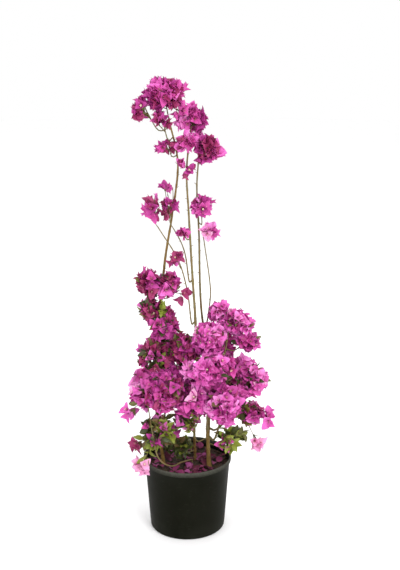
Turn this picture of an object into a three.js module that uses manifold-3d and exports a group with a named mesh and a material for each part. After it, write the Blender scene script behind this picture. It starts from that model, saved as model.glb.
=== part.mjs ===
// A bougainvillea trained upright in a round nursery pot, in millimetres, +Z up.
// The origin is the centre of the pot's flat underside, and -Y is the plant's front.
//
// Limbs are tapering tubes that meet their parents at a small gap. Each mass of blossom or leaves is one
// solid: a stem that leaves its limb, twigs that spread from it by a seeded rule, and thick blades fused on.
import * as THREE from "three";
import { mergeVertices } from "three/addons/utils/BufferGeometryUtils.js";
import Module from "manifold-3d";

const wasm = await Module();
wasm.setup();

// ---------------------------------------------------------------- driving dimensions

const GAP = 0.3; // between solids that meet
const SLIVER = 0.05; // detail finer than this is merged where solids are fused
const SEED = 6019;
const SEED_STEP = 77; // from one mass to the next

const pot = {
  height: 230,
  rimRadius: 135,
  shoulderRadius: 130.5,
  footRadius: 115,
  wall: 2.6,
  floor: 3.5,
  rimHeight: 16,
  rimSlope: 2.5,
  rimRounding: 2,
  rimThickness: 4,
  footRounding: 6,
  segments: 36,
  drainHoles: 6,
  drainRadius: 7,
  drainCircle: 88,
};

const soilTop = 204;
const stands = soilTop + GAP;
const uprightStart = 10; // how far a stem rises straight from the soil before it leans

// A twig ends in a cup of pointed blades: the bracts of a bloom, or leaves.
const bloom = { longest: 60, shortest: 22, openDegrees: 62, valleyShare: 0.54 };
const leaf = { longest: 60, shortest: 24, openDegrees: 74, valleyShare: 0.4 };
const spray = {
  blades: 3,
  thickness: 5, // at its heart
  sizes: [1, 0.88, 0.76, 0.64, 0.54], // tried in turn until one fits
  rolls: 5, // turns about its axis that are tried at each size
  facesOut: 0.7, // the share of the angle from its twig's line to straight out that it turns
  sharpestTurn: Math.PI / 3,
  barkClearance: 4.5,
};
const twig = { rootRadius: 1.5, tipRadius: 1.2, barkClearance: 1.2, checks: 14, leavesStemFrom: 0.5, leavesWithin: 0.8 };
const massStem = { rootRadius: 2.8, tipRadius: 2.2, reach: 0.8, lead: 0.35, shortest: 14 };
const space = {
  bladeShare: 0.9, // a blade's length, as a share of its mass's least half-width
  limit: 1.12, // how far from the centre a blade may stand, as a share of the half-width there
  margin: 0.025, // how much nearer its own centre than any other's it has to be, as such a share
  sprigLimit: 1.1, // how far from every other mass's centre a sprig keeps
  least: 0.25, // the nearest that a twig's end comes to the centre
};

// ---------------------------------------------------------------- finishes

const finish = (color, roughness) => new THREE.MeshStandardMaterial({ color, roughness, metalness: 0 });
const finishes = {
  pot: finish(0x22231d, 0.55),
  soil: finish(0x251a12, 0.95),
  bark: finish(0x7a6238, 0.85),
  blossom: finish(0xb2308c, 0.7),
  deepBlossom: finish(0x8a2460, 0.7),
  leaves: finish(0x4f6326, 0.6),
};

// ---------------------------------------------------------------- small helpers

const vector = (x, y, z) => new THREE.Vector3(x, y, z);
const UP = vector(0, 0, 1);
const GOLDEN_ANGLE = Math.PI * (3 - Math.sqrt(5));
const GOLDEN_SHARE = (Math.sqrt(5) - 1) / 2;

/** A seeded source of numbers from 0 to 1. */
function seededNumbers(seed) {
  let state = seed >>> 0;
  return () => {
    state = (state + 0x6d2b79f5) >>> 0;
    let t = Math.imul(state ^ (state >>> 15), state | 1);
    t ^= t + Math.imul(t ^ (t >>> 7), t | 61);
    return ((t ^ (t >>> 14)) >>> 0) / 4294967296;
  };
}

/** The part of v that is square to the unit vector axis, made one long. */
function squareTo(v, axis) {
  const across = v.clone().addScaledVector(axis, -v.dot(axis));
  if (across.length() < 1e-3) across.crossVectors(axis, Math.abs(axis.z) < 0.9 ? UP : vector(1, 0, 0));
  return across.normalize();
}

/** A closed tube round a curve, with its radius given along the curve's length from 0 to 1. */
function taperedTube(curve, radiusAt, sides, steps) {
  const tube = new THREE.CylinderGeometry(1, 1, 1, sides, steps);
  const frames = curve.computeFrenetFrames(steps);
  const centres = frames.tangents.map((_, i) => curve.getPointAt(i / steps));
  const places = tube.getAttribute("position");
  for (let i = 0; i < places.count; i++) {
    const step = Math.round((places.getY(i) + 0.5) * steps);
    const radius = radiusAt(step / steps);
    const place = centres[step]
      .clone()
      .addScaledVector(frames.normals[step], places.getX(i) * radius)
      .addScaledVector(frames.binormals[step], places.getZ(i) * radius);
    places.setXYZ(i, place.x, place.y, place.z);
  }
  return solidFrom(tube);
}

/** A three.js geometry as a solid, with its shared corners merged and its faces pointing out. */
function solidFrom(geometry) {
  geometry.deleteAttribute("normal");
  geometry.deleteAttribute("uv");
  const merged = mergeVertices(geometry, 1e-4);
  const corners = new Uint32Array(merged.index.array);
  const made = () =>
    new wasm.Manifold(
      new wasm.Mesh({
        numProp: 3,
        vertProperties: merged.getAttribute("position").array,
        triVerts: corners,
      }),
    );
  const solid = made();
  if (solid.volume() > 0) return solid;
  for (let i = 0; i < corners.length; i += 3) [corners[i], corners[i + 1]] = [corners[i + 1], corners[i]];
  return made();
}

/** A named mesh of a solid. */
function meshOf(name, solid, material) {
  const { numProp, numVert, vertProperties, triVerts } = solid.getMesh();
  const places = new Float32Array(numVert * 3);
  for (let i = 0; i < numVert; i++) places.set(vertProperties.subarray(i * numProp, i * numProp + 3), i * 3);
  const geometry = new THREE.BufferGeometry();
  geometry.setAttribute("position", new THREE.BufferAttribute(places, 3));
  geometry.setIndex(new THREE.BufferAttribute(triVerts, 1));
  geometry.computeVertexNormals();
  const mesh = new THREE.Mesh(geometry, material);
  mesh.name = name;
  return mesh;
}

// ---------------------------------------------------------------- pot and soil

/** The radius of the pot's outer wall at a height, between its foot and its shoulder. */
function wallRadius(height) {
  const shoulder = pot.height - pot.rimHeight;
  return THREE.MathUtils.mapLinear(height, 0, shoulder, pot.footRadius, pot.shoulderRadius);
}

/** The pot: a tapering wall with a rounded foot, a lip that stands out at the rim, and drain holes. */
function potSolid() {
  const { height, rimRadius, wall, floor, rimHeight, rimRounding, footRounding } = pot;
  const shoulder = height - rimHeight;
  const profile = new THREE.Path();
  profile.moveTo(0, 0);
  profile.lineTo(pot.footRadius - footRounding, 0);
  profile.quadraticCurveTo(pot.footRadius, 0, wallRadius(footRounding), footRounding);
  profile.lineTo(pot.shoulderRadius, shoulder);
  profile.lineTo(rimRadius, shoulder + pot.rimSlope);
  profile.lineTo(rimRadius, height - rimRounding);
  profile.quadraticCurveTo(rimRadius, height, rimRadius - rimRounding, height);
  profile.lineTo(rimRadius - pot.rimThickness, height);
  profile.lineTo(pot.shoulderRadius - wall, shoulder);
  profile.lineTo(wallRadius(floor) - wall, floor);
  profile.lineTo(0, floor);
  const body = solidFrom(new THREE.LatheGeometry(profile.getPoints(3), pot.segments).rotateX(Math.PI / 2));
  const drills = [];
  for (let i = 0; i < pot.drainHoles; i++) {
    const turn = (2 * Math.PI * (i + 0.5)) / pot.drainHoles;
    const drill = new THREE.CylinderGeometry(pot.drainRadius, pot.drainRadius, 3 * floor, 8);
    drill.rotateX(Math.PI / 2);
    drill.translate(pot.drainCircle * Math.cos(turn), pot.drainCircle * Math.sin(turn), floor / 2);
    drills.push(solidFrom(drill));
  }
  return body.subtract(wasm.Manifold.union(drills));
}

/** The potting mix, which fills the pot to a little under its rim. */
function soilSolid() {
  const inset = pot.wall + GAP;
  const bottom = pot.floor + GAP;
  const profile = [
    new THREE.Vector2(0, bottom),
    new THREE.Vector2(wallRadius(bottom) - inset, bottom),
    new THREE.Vector2(wallRadius(soilTop) - inset, soilTop),
    new THREE.Vector2(0, soilTop),
  ];
  return solidFrom(new THREE.LatheGeometry(profile, pot.segments).rotateX(Math.PI / 2));
}

// ---------------------------------------------------------------- limbs

/** A tapering limb along a smooth curve. It can swell at its foot, as a trunk does at ground level. */
class Limb {
  constructor(name, points, radii, { flare = 0, flareHeight = 14, sides = 6, stepLength = 56 } = {}) {
    this.name = name;
    this.curve = new THREE.CatmullRomCurve3(points, false, "catmullrom", 0.5);
    this.length = this.curve.getLength();
    [this.rootRadius, this.tipRadius] = radii;
    this.flare = flare;
    this.flareHeight = flareHeight;
    this.sides = sides;
    this.steps = Math.max(Math.ceil(this.length / stepLength), 2);
  }

  radiusAt(share) {
    const even = THREE.MathUtils.lerp(this.rootRadius, this.tipRadius, share);
    return even + this.flare * Math.exp((-share * this.length) / this.flareHeight);
  }

  /** The middle of the tube, and the way it runs, at a share of its length. Its steps are straight. */
  middleAt(share) {
    const step = Math.min(Math.floor(share * this.steps), this.steps - 1);
    const from = this.curve.getPointAt(step / this.steps);
    const to = this.curve.getPointAt((step + 1) / this.steps);
    return { middle: from.clone().lerp(to, share * this.steps - step), along: to.sub(from).normalize() };
  }

  /** The share of the limb's length at which it first passes a height. */
  shareAtHeight(height) {
    const places = this.curve.getSpacedPoints(400);
    const first = places.findIndex((place) => place.z >= height);
    return first < 0 ? 1 : first / (places.length - 1);
  }

  /** Places along the middle of the limb, with its radius at each. */
  samples(spacing = 4) {
    const count = Math.ceil(this.length / spacing);
    return this.curve.getSpacedPoints(count).map((place, i) => ({ place, radius: this.radiusAt(i / count) }));
  }

  solid() {
    return taperedTube(this.curve, (share) => this.radiusAt(share), this.sides, this.steps);
  }
}

/** The first places of a branch that leaves a limb square to it at a height, or carries on from its tip. */
function branchStart(parent, height, towards, lead) {
  if (height === "tip") {
    const along = parent.curve.getTangentAt(1);
    const start = parent.curve.getPointAt(1).addScaledVector(along, GAP);
    return [start, start.clone().addScaledVector(along, lead)];
  }
  const share = parent.shareAtHeight(height);
  const { middle, along } = parent.middleAt(share);
  const outward = squareTo(towards.clone().sub(middle), along);
  const start = middle.addScaledVector(outward, parent.radiusAt(share) + GAP);
  return [start, start.clone().addScaledVector(outward, lead)];
}

const limbs = {};

/** A stem that stands on the soil. It starts upright, so its cut at ground level is flat. */
function plantStem(name, places, radii, options) {
  const route = places.map((p) => vector(...p));
  route.splice(1, 0, route[0].clone().addScaledVector(UP, uprightStart));
  limbs[name] = new Limb(name, route, radii, options);
}

/** A bough through its places, which starts at its parent's bark, or at its tip. */
function addBough(name, parent, height, places, radii, lead = 16) {
  const route = places.map((p) => vector(...p));
  const start = branchStart(limbs[parent], height, route[0], lead);
  limbs[name] = new Limb(name, [...start, ...route], radii);
}

// Three stems rise from the one root. The trunk stands at the front right and forks low in the bush.
plantStem("trunk", [[66, -32, stands], [63, -33, 300], [64, -35, 380], [61, -38, 430]], [5.9, 4.6], {
  flare: 3.6,
  sides: 8,
  stepLength: 20,
});
plantStem(
  "stem_left",
  [
    [-74, -14, stands],
    [-92, -33, 400],
    [-86, -40, 620],
    [-63, -25, 847],
    [-41, -15, 983],
    [-24, -8, 1130],
    [-48, -25, 1258],
  ],
  [5.4, 2.2],
  { flare: 2.8, sides: 7, stepLength: 40 },
);
plantStem("stem_back", [[24, 14, stands], [21, 20, 330], [26, 52, 440], [60, 70, 505]], [4.2, 2.8], {
  flare: 2,
  stepLength: 40,
});

// The climbing boughs and the thin whips that cross between them.
addBough("bough_middle", "trunk", "tip", [
  [31, -58, 605],
  [24, -50, 709],
  [16, -40, 827],
  [7, -25, 985],
  [1, -14, 1110],
  [12, -6, 1216],
], [4.4, 2.2], 26);
addBough("bough_right", "trunk", 392, [
  [66, 26, 500],
  [42, 50, 695],
  [36, 35, 914],
  [30, 22, 1050],
  [34, 4, 1130],
], [4.0, 2.1]);
const whips = [
  ["whip_right", "bough_right", 632, [[69, 32, 715], [68, 30, 775], [50, 29, 903]]],
  ["whip_cross_low", "bough_middle", 672, [[2, -43, 765], [-24, -44, 858], [-80, -50, 954]]],
  ["whip_cross_high", "bough_middle", 795, [[-2, -31, 862], [-15, -29, 905], [-36, -31, 945]]],
];
for (const [name, parent, height, places] of whips) addBough(name, parent, height, places, [2.2, 1.5], 8);

// The runner leaves the root, hangs in a loop over the rim and climbs to the left flank.
plantStem(
  "runner",
  [
    [14, -6, stands],
    [-16, -48, 226],
    [-48, -92, 234],
    [-84, -112, 270],
    [-100, -110, 342],
    [-114, -92, 426],
  ],
  [2.3, 1.6],
  { stepLength: 28 },
);

// The boughs inside the bush, each to the mass that it carries.
const bushBoughs = [
  ["bough_front", "trunk", 345, [64, -84, 505]],
  ["bough_right_high", "trunk", 405, [122, -14, 622]],
  ["bough_low_right", "trunk", 305, [104, -74, 386]],
  ["bough_far_right", "trunk", 330, [148, -40, 392]],
  ["bough_right_back", "trunk", 365, [116, 26, 440]],
  ["bough_left_low", "stem_left", 330, [-64, -78, 440]],
  ["bough_left_high", "stem_left", 452, [-76, 30, 520]],
  ["bough_back_right", "stem_back", 345, [76, 86, 392]],
  ["bough_back_left", "stem_back", 318, [-50, 72, 388]],
];
for (const [name, parent, height, tip] of bushBoughs) addBough(name, parent, height, [tip], [3.2, 2.3], 22);

// ---------------------------------------------------------------- masses

// Each mass: its name, the limb that carries it and the height at which its stem leaves that limb, the
// centre and half-widths of the space that it fills, its number of twigs, the share of leaves among what
// they bear, and any long sprigs, given by their ends.
const massRows = [
  ["top_left", "stem_left", "tip", [-58, -36, 1322], [76, 62, 60], 12, 0],
  ["top_left_tip", "stem_left", 1232, [-122, -42, 1286], [46, 42, 46], 7, 0],
  ["top_left_low", "stem_left", 1206, [-68, -54, 1254], [38, 34, 36], 5, 0],
  ["top_right", "bough_middle", "tip", [22, 0, 1256], [58, 50, 54], 8, 0],
  ["top_low_left", "bough_middle", 1172, [4, -38, 1192], [42, 40, 44], 6, 0],
  ["top_low", "bough_right", "tip", [56, -18, 1172], [54, 50, 58], 10, 0],
  ["top_spur", "stem_left", 1152, [-52, -24, 1181], [42, 30, 30], 5, 0],
  ["top_tassel", "bough_middle", 1132, [2, -38, 1118], [26, 26, 38], 4, 0],
  ["upper_left", "whip_cross_low", "tip", [-90, -54, 1010], [42, 40, 66], 10, 0],
  ["upper_left_inner", "whip_cross_high", "tip", [-48, -34, 1012], [32, 34, 78], 7, 0],
  ["upper_right", "bough_right", 952, [44, 4, 1002], [40, 36, 58], 9, 0],
  ["middle_bloom", "bough_middle", 915, [-8, -46, 934], [23, 22, 24], 3, 0],
  ["whip_blooms", "whip_right", "tip", [64, 24, 926], [38, 26, 24], 4, 0],
  ["cross_bloom", "whip_cross_low", 838, [-28, -62, 866], [22, 20, 26], 3, 0],
  ["left_shoulder", "stem_left", 752, [-114, -34, 784], [48, 44, 62], 9, 0.1],
  ["left_inner", "stem_left", 742, [-56, -36, 782], [48, 42, 52], 7, 0.1, [[-15, -50, 758]]],
  ["left_column_top", "stem_left", 690, [-102, -46, 710], [48, 42, 46], 7, 0.3],
  ["left_column_upper", "stem_left", 628, [-62, -48, 664], [60, 48, 56], 10, 0.3],
  ["left_column_lower", "stem_left", 512, [-92, -58, 572], [64, 52, 66], 10, 0.35],
  ["right_crown", "bough_right_high", "tip", [146, -12, 664], [58, 56, 46], 10, 0.05],
  ["right_spike", "bough_right_high", 600, [92, 2, 690], [38, 38, 46], 6, 0],
  ["right_front", "bough_middle", 604, [66, -88, 640], [64, 58, 54], 11, 0.05],
  ["right_side", "bough_right_high", 578, [180, -22, 600], [54, 52, 32], 7, 0.05],
  ["middle_shade", "bough_middle", 548, [-12, -60, 592], [60, 56, 64], 9, 0.25],
  ["middle_front", "bough_front", "tip", [66, -130, 556], [86, 64, 54], 12, 0.05],
  ["right_flank", "bough_right_high", 470, [192, -48, 494], [56, 60, 60], 10, 0.1],
  ["lower_left", "bough_left_low", "tip", [-58, -112, 482], [104, 68, 62], 14, 0.12],
  ["left_flank", "runner", "tip", [-134, -52, 444], [46, 54, 58], 8, 0.15, [[-166, -78, 406]]],
  ["lower_right", "bough_low_right", "tip", [106, -116, 442], [84, 68, 76], 14, 0.12],
  ["low_right_flank", "bough_far_right", "tip", [190, -52, 388], [56, 54, 40], 7, 0.15, [
    [243, -60, 378],
    [206, -78, 314],
  ]],
  ["skirt_left", "stem_left", 318, [-84, -86, 346], [74, 58, 74], 11, 0.75, [
    [-140, -76, 306],
    [-128, -116, 256],
  ]],
  ["middle_low", "trunk", 300, [2, -74, 372], [48, 50, 44], 6, 0.3],
  ["middle_core", "bough_front", 430, [16, -112, 450], [52, 56, 62], 8, 0.1],
  ["skirt_right", "trunk", 282, [126, -70, 318], [66, 54, 42], 8, 0.85],
  ["foot_leaves", "stem_back", 236, [-26, -14, 264], [58, 46, 42], 7, 0.85],
  ["back_upper", "stem_back", "tip", [96, 84, 560], [80, 62, 76], 9, 0.12],
  ["back_left_upper", "bough_left_high", "tip", [-78, 52, 562], [62, 54, 62], 9, 0.2],
  ["back_left", "bough_back_left", "tip", [-92, 96, 428], [88, 72, 78], 10, 0.25],
  ["back_right", "bough_back_right", "tip", [104, 114, 424], [88, 72, 80], 10, 0.25],
  ["right_back", "bough_right_back", "tip", [168, 52, 484], [62, 58, 60], 9, 0.15],
];

const masses = massRows.map(([name, limb, height, centre, radii, twigs, leafShare, sprigs = []], index) => {
  const mass = { name, index, twigs, leafShare, centre: vector(...centre), radii: vector(...radii) };
  mass.sprigs = sprigs.map((end) => vector(...end));
  mass.stem = massStemLimb(name, limbs[limb], height, mass.centre);
  return mass;
});

/** The stem of a mass: it leaves its limb square to it, or at the limb's tip, and bends to the centre. */
function massStemLimb(name, parent, height, centre) {
  const [start] = branchStart(parent, height, centre, 0);
  const span = Math.max(centre.distanceTo(start), massStem.shortest);
  const leadStart = branchStart(parent, height, centre, span * massStem.lead);
  const hub = start.clone().lerp(centre, massStem.reach);
  if (hub.distanceTo(start) < massStem.shortest) {
    hub.copy(leadStart[1]).addScaledVector(UP, massStem.shortest);
  }
  const rootRadius = Math.min(massStem.rootRadius, parent.radiusAt(1) + 0.4);
  return new Limb(name, [...leadStart, hub], [rootRadius, massStem.tipRadius], { sides: 4, stepLength: 60 });
}

/** How far a place lies from a mass's centre, as a share of its half-width in that direction. */
function shareOut(mass, place) {
  return place.clone().sub(mass.centre).divide(mass.radii).length();
}

/** True where a place lies in a mass's space and nearer to its centre than to any other's. */
function inSpace(mass, place, limit = space.limit) {
  const own = shareOut(mass, place);
  const isOwn = (other) => other === mass || shareOut(other, place) > own + space.margin;
  return own <= limit && masses.every(isOwn);
}

/** True where a place lies well outside every mass but its own. */
function outsideOthers(mass, place) {
  return masses.every((other) => other === mass || shareOut(other, place) > space.sprigLimit);
}

const NEARBY = 2; // in half-widths of a mass
const POT_CLEARANCE = 4;

/** Samples of every limb, and of every other mass's stem, that come near a mass. */
function obstaclesNear(mass) {
  const others = masses.filter((other) => other !== mass).map((other) => other.stem);
  return [...Object.values(limbs), ...others]
    .flatMap((limb) => limb.samples())
    .filter(({ place }) => shareOut(mass, place) < NEARBY);
}

/** True where the soil or the pot comes too near a place on a twig or a blade of a radius. */
function meetsPot(place, radius) {
  const across = Math.hypot(place.x, place.y);
  const isOverSoil = across < pot.shoulderRadius - pot.wall - POT_CLEARANCE;
  const top = isOverSoil ? soilTop : pot.height;
  return across < pot.rimRadius + POT_CLEARANCE && place.z < top + radius + POT_CLEARANCE;
}

/** True where a limb comes too near a place on a twig. */
function meetsLimb(place, obstacles) {
  const clear = twig.rootRadius + twig.barkClearance;
  return obstacles.some((limb) => limb.place.distanceTo(place) < limb.radius + clear);
}

/** The length of a mass's blades, from the size of its space. */
function bladeLength(mass, shape) {
  const room = Math.min(mass.radii.x, mass.radii.y, mass.radii.z);
  return THREE.MathUtils.clamp(room * space.bladeShare, shape.shortest, shape.longest);
}

/** A spray's outline: a heart over the twig's end, and a rim of blade tips and valleys in turn. */
function sprayOutline(place, axis, roll, shape, length) {
  const side = squareTo(UP, axis).applyAxisAngle(axis, roll);
  const open = THREE.MathUtils.degToRad(shape.openDegrees);
  const rim = Array.from({ length: 2 * spray.blades }, (_, i) => {
    const reach = i % 2 === 0 ? length : length * shape.valleyShare;
    const outward = side.clone().applyAxisAngle(axis, (i * Math.PI) / spray.blades);
    return place
      .clone()
      .addScaledVector(axis, reach * Math.cos(open))
      .addScaledVector(outward, reach * Math.sin(open));
  });
  return { heart: place.clone(), axis, side, rim };
}

/** The outlines to try at a twig's end, the largest first, each at several turns about its axis. */
function sprayChoices(place, axis, roll, shape, length) {
  const step = (2 * Math.PI) / (spray.blades * spray.rolls);
  const turns = Array.from({ length: spray.rolls }, (_, i) => i * step);
  return spray.sizes.flatMap((size) =>
    turns.map((turn) => sprayOutline(place, axis, roll + turn, shape, size * length)),
  );
}

/** Three points round a place, square to an axis. The first lies towards side. */
function ringOfThree(place, axis, side, radius) {
  const first = squareTo(side, axis);
  return Array.from({ length: 3 }, (_, i) =>
    place.clone().addScaledVector(first.clone().applyAxisAngle(axis, (i * 2 * Math.PI) / 3), radius),
  );
}

/** A three-sided twig from a place on its stem, as one solid with the spray that it widens into. */
function sprigSolid(from, { heart, axis, side, rim }) {
  const line = heart.clone().sub(from).normalize();
  const foot = ringOfThree(from, line, side, twig.rootRadius);
  const neck = heart.clone().addScaledVector(axis, -spray.thickness);
  const collar = ringOfThree(neck, axis, side, twig.tipRadius);
  const shape = new THREE.BufferGeometry();
  const places = [...foot, ...collar, heart, ...rim].flatMap((place) => place.toArray());
  shape.setAttribute("position", new THREE.Float32BufferAttribute(places, 3));
  const faces = [0, 2, 1];
  for (let i = 0; i < 3; i++) {
    const next = (i + 1) % 3;
    const [tip, valley, pastTip] = [7 + 2 * i, 8 + 2 * i, 7 + 2 * next];
    faces.push(i, next, 3 + next, i, 3 + next, 3 + i);
    faces.push(3 + i, 3 + next, valley, 3 + i, valley, tip, 3 + next, pastTip, valley);
    faces.push(6, tip, valley, 6, valley, pastTip);
  }
  shape.setIndex(faces);
  return solidFrom(shape);
}

/** The upper faces of a spray. */
function sprayFaces({ heart, rim }) {
  return rim.map((place, i) => [heart, place, rim[(i + 1) % rim.length]]);
}

/** True where a spray keeps to where it may grow, and clear of the pot and every limb. */
function sprayFits(outline, mayGrow, obstacles) {
  const halfway = outline.rim.map((place) => place.clone().lerp(outline.heart, 0.5));
  if (!outline.rim.every(mayGrow)) return false;
  if ([...outline.rim, ...halfway].some((place) => meetsPot(place, spray.thickness))) return false;
  const nearest = vector(0, 0, 0);
  const faces = sprayFaces(outline).map((corners) => new THREE.Triangle(...corners));
  return obstacles.every(({ place, radius }) => {
    const clear = radius + spray.barkClearance;
    return faces.every((face) => face.closestPointToPoint(place, nearest).distanceTo(place) > clear);
  });
}

/** True where an edge of one spray runs through a face of another. */
function sprayCrosses(one, other) {
  const met = vector(0, 0, 0);
  const pierces = (edges, faces) =>
    edges.some(([from, to]) => {
      const ray = new THREE.Ray(from, to.clone().sub(from).normalize());
      const length = from.distanceTo(to);
      return faces.some(
        ([a, b, c]) => ray.intersectTriangle(a, b, c, false, met) && met.distanceTo(from) < length,
      );
    });
  const edgesOf = (faces) => faces.flatMap(([heart, a, b]) => [[heart, a], [a, b]]);
  const [oneFaces, otherFaces] = [sprayFaces(one), sprayFaces(other)];
  return pierces(edgesOf(oneFaces), otherFaces) || pierces(edgesOf(otherFaces), oneFaces);
}

/** The ends of a mass's twigs: spread evenly over its space by the golden angle, and then its sprigs. */
function twigEnds(mass, random) {
  const open = THREE.MathUtils.degToRad(bloom.openDegrees);
  const sideways = bladeLength(mass, bloom) * Math.sin(open);
  const outwards = bladeLength(mass, bloom) * Math.cos(open);
  const phase = random() * 2 * Math.PI;
  const ends = Array.from({ length: mass.twigs }, (_, i) => {
    const height = 1 - (2 * (i + 0.5)) / mass.twigs;
    const turn = phase + i * GOLDEN_ANGLE;
    const flat = Math.sqrt(1 - height * height);
    const away = vector(flat * Math.cos(turn), flat * Math.sin(turn), height);
    const surface = 1 / away.clone().divide(mass.radii).length();
    const room = Math.sqrt(Math.max(0, (space.limit * surface) ** 2 - sideways ** 2)) - outwards;
    const reach = Math.max(space.least * surface, room) * THREE.MathUtils.lerp(0.86, 0.98, random());
    return mass.centre.clone().addScaledVector(away, reach);
  });
  return [...ends, ...mass.sprigs];
}

/** The way a spray faces: turned from its twig's line most of the way towards outwards. */
function facing(line, outwards) {
  const turn = Math.min(line.angleTo(outwards) * spray.facesOut, spray.sharpestTurn);
  const hinge = squareTo(vector(0, 0, 0).crossVectors(line, outwards), line);
  return line.clone().applyAxisAngle(hinge, turn);
}

/** Solids fused into one body, without slivers, and with any hollow that they seal filled. */
function fused(pieces) {
  const bodies = wasm.Manifold.union(pieces).simplify(SLIVER).decompose();
  return bodies.reduce((largest, body) => (body.volume() > largest.volume() ? body : largest));
}

/** Where the twig of a number leaves its mass's stem: spread along the part inside the mass's space. */
function twigRoot(mass, number) {
  const room = Math.min(mass.radii.x, mass.radii.y, mass.radii.z) * twig.leavesWithin;
  const share = Math.min(twig.leavesStemFrom, room / mass.stem.length);
  return mass.stem.curve.getPointAt(1 - share * ((number * GOLDEN_SHARE) % 1));
}

/** One mass as a solid: its stem, and each twig and spray that finds room. */
function growMass(mass) {
  const random = seededNumbers(SEED + SEED_STEP * mass.index);
  const obstacles = obstaclesNear(mass);
  const pieces = [mass.stem.solid()];
  const placed = [];
  twigEnds(mass, random).forEach((end, i) => {
    const isLeafy = random() < mass.leafShare;
    const roll = random() * 2 * Math.PI;
    const isSprig = i >= mass.twigs;
    const from = twigRoot(mass, i);
    const along = new THREE.LineCurve3(from, end).getPoints(twig.checks).slice(2);
    if (along.some((place) => meetsPot(place, twig.rootRadius) || meetsLimb(place, obstacles))) return;
    if (!isSprig && !along.every((place) => inSpace(mass, place, 1))) return;
    const axis = facing(end.clone().sub(from).normalize(), end.clone().sub(mass.centre).normalize());
    const mayGrow = isSprig ? (place) => outsideOthers(mass, place) : (place) => inSpace(mass, place);
    const shape = isLeafy ? leaf : bloom;
    const isClear = (choice) => !placed.some((other) => sprayCrosses(choice, other));
    const outline = sprayChoices(end, axis, roll, shape, bladeLength(mass, shape)).find(
      (choice) => sprayFits(choice, mayGrow, obstacles) && isClear(choice),
    );
    if (!outline) return;
    placed.push(outline);
    pieces.push(sprigSolid(from, outline));
  });
  return fused(pieces);
}

// ---------------------------------------------------------------- the part

const LEAFY = 0.5; // the share of leaves from which a mass is green
const DEEP = ["upper_left", "upper_left_inner", "left_shoulder", "left_inner", "middle_shade"];

function massFinish(mass) {
  if (mass.leafShare > LEAFY) return finishes.leaves;
  const isDeep = DEEP.includes(mass.name) || mass.name.startsWith("left_column");
  return isDeep ? finishes.deepBlossom : finishes.blossom;
}

const plant = new THREE.Group();
plant.add(meshOf("pot", potSolid(), finishes.pot));
plant.add(meshOf("soil", soilSolid(), finishes.soil));
for (const limb of Object.values(limbs)) plant.add(meshOf(limb.name, limb.solid(), finishes.bark));
for (const mass of masses) plant.add(meshOf(`mass_${mass.name}`, growMass(mass), massFinish(mass)));

export default plant;
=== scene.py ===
"""A bougainvillea trained upright in a round nursery pot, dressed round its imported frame.

The limbs and the masses of blossom follow the places, sizes and seeded rule of the part's source, which
are repeated here in its own millimetres and turned into metres where a mesh is made. The rule is carried
on to finer twigs, single blooms and leaves within the same reach. +Z is up, and -Y is the plant's front.
"""

import logging
import math
from collections.abc import Sequence
from dataclasses import dataclass, field
from enum import Enum

import bpy
import numpy as np
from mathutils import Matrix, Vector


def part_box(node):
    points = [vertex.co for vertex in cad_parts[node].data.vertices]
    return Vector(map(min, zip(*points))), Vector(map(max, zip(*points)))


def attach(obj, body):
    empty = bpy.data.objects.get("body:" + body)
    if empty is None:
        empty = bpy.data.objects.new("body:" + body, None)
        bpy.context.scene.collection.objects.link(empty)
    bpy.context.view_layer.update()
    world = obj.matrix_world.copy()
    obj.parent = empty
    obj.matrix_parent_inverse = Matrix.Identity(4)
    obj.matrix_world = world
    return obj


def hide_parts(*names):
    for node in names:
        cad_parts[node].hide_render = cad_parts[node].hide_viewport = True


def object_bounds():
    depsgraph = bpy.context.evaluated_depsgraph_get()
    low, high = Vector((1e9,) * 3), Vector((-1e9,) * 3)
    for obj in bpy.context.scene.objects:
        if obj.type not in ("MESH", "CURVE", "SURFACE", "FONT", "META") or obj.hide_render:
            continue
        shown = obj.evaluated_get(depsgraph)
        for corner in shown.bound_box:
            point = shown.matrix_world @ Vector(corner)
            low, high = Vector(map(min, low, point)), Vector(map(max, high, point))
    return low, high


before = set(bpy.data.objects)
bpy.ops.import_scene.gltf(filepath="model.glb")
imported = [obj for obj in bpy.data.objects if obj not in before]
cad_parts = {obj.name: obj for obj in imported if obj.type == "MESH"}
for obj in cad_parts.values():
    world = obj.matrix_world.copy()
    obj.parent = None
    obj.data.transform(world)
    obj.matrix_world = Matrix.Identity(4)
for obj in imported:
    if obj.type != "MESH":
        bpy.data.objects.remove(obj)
CAD_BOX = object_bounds()

log = logging.getLogger("bougainvillea")

MM = 0.001
BODY = "root"
GOLDEN_ANGLE = math.pi * (3 - math.sqrt(5))
GOLDEN_SHARE = (math.sqrt(5) - 1) / 2
ANY_ROLL = 6.3  # radians: a little more than a whole turn
UP = np.array((0.0, 0.0, 1.0))
SIDEWAYS = np.array((1.0, 0.0, 0.0))
EVEN = (1.0, 1.0, 1.0)

Point = Sequence[float]
Array = np.ndarray
Height = float | str  # in millimetres, or "tip" for a limb's own tip


# ------------------------ numbers and directions


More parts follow.
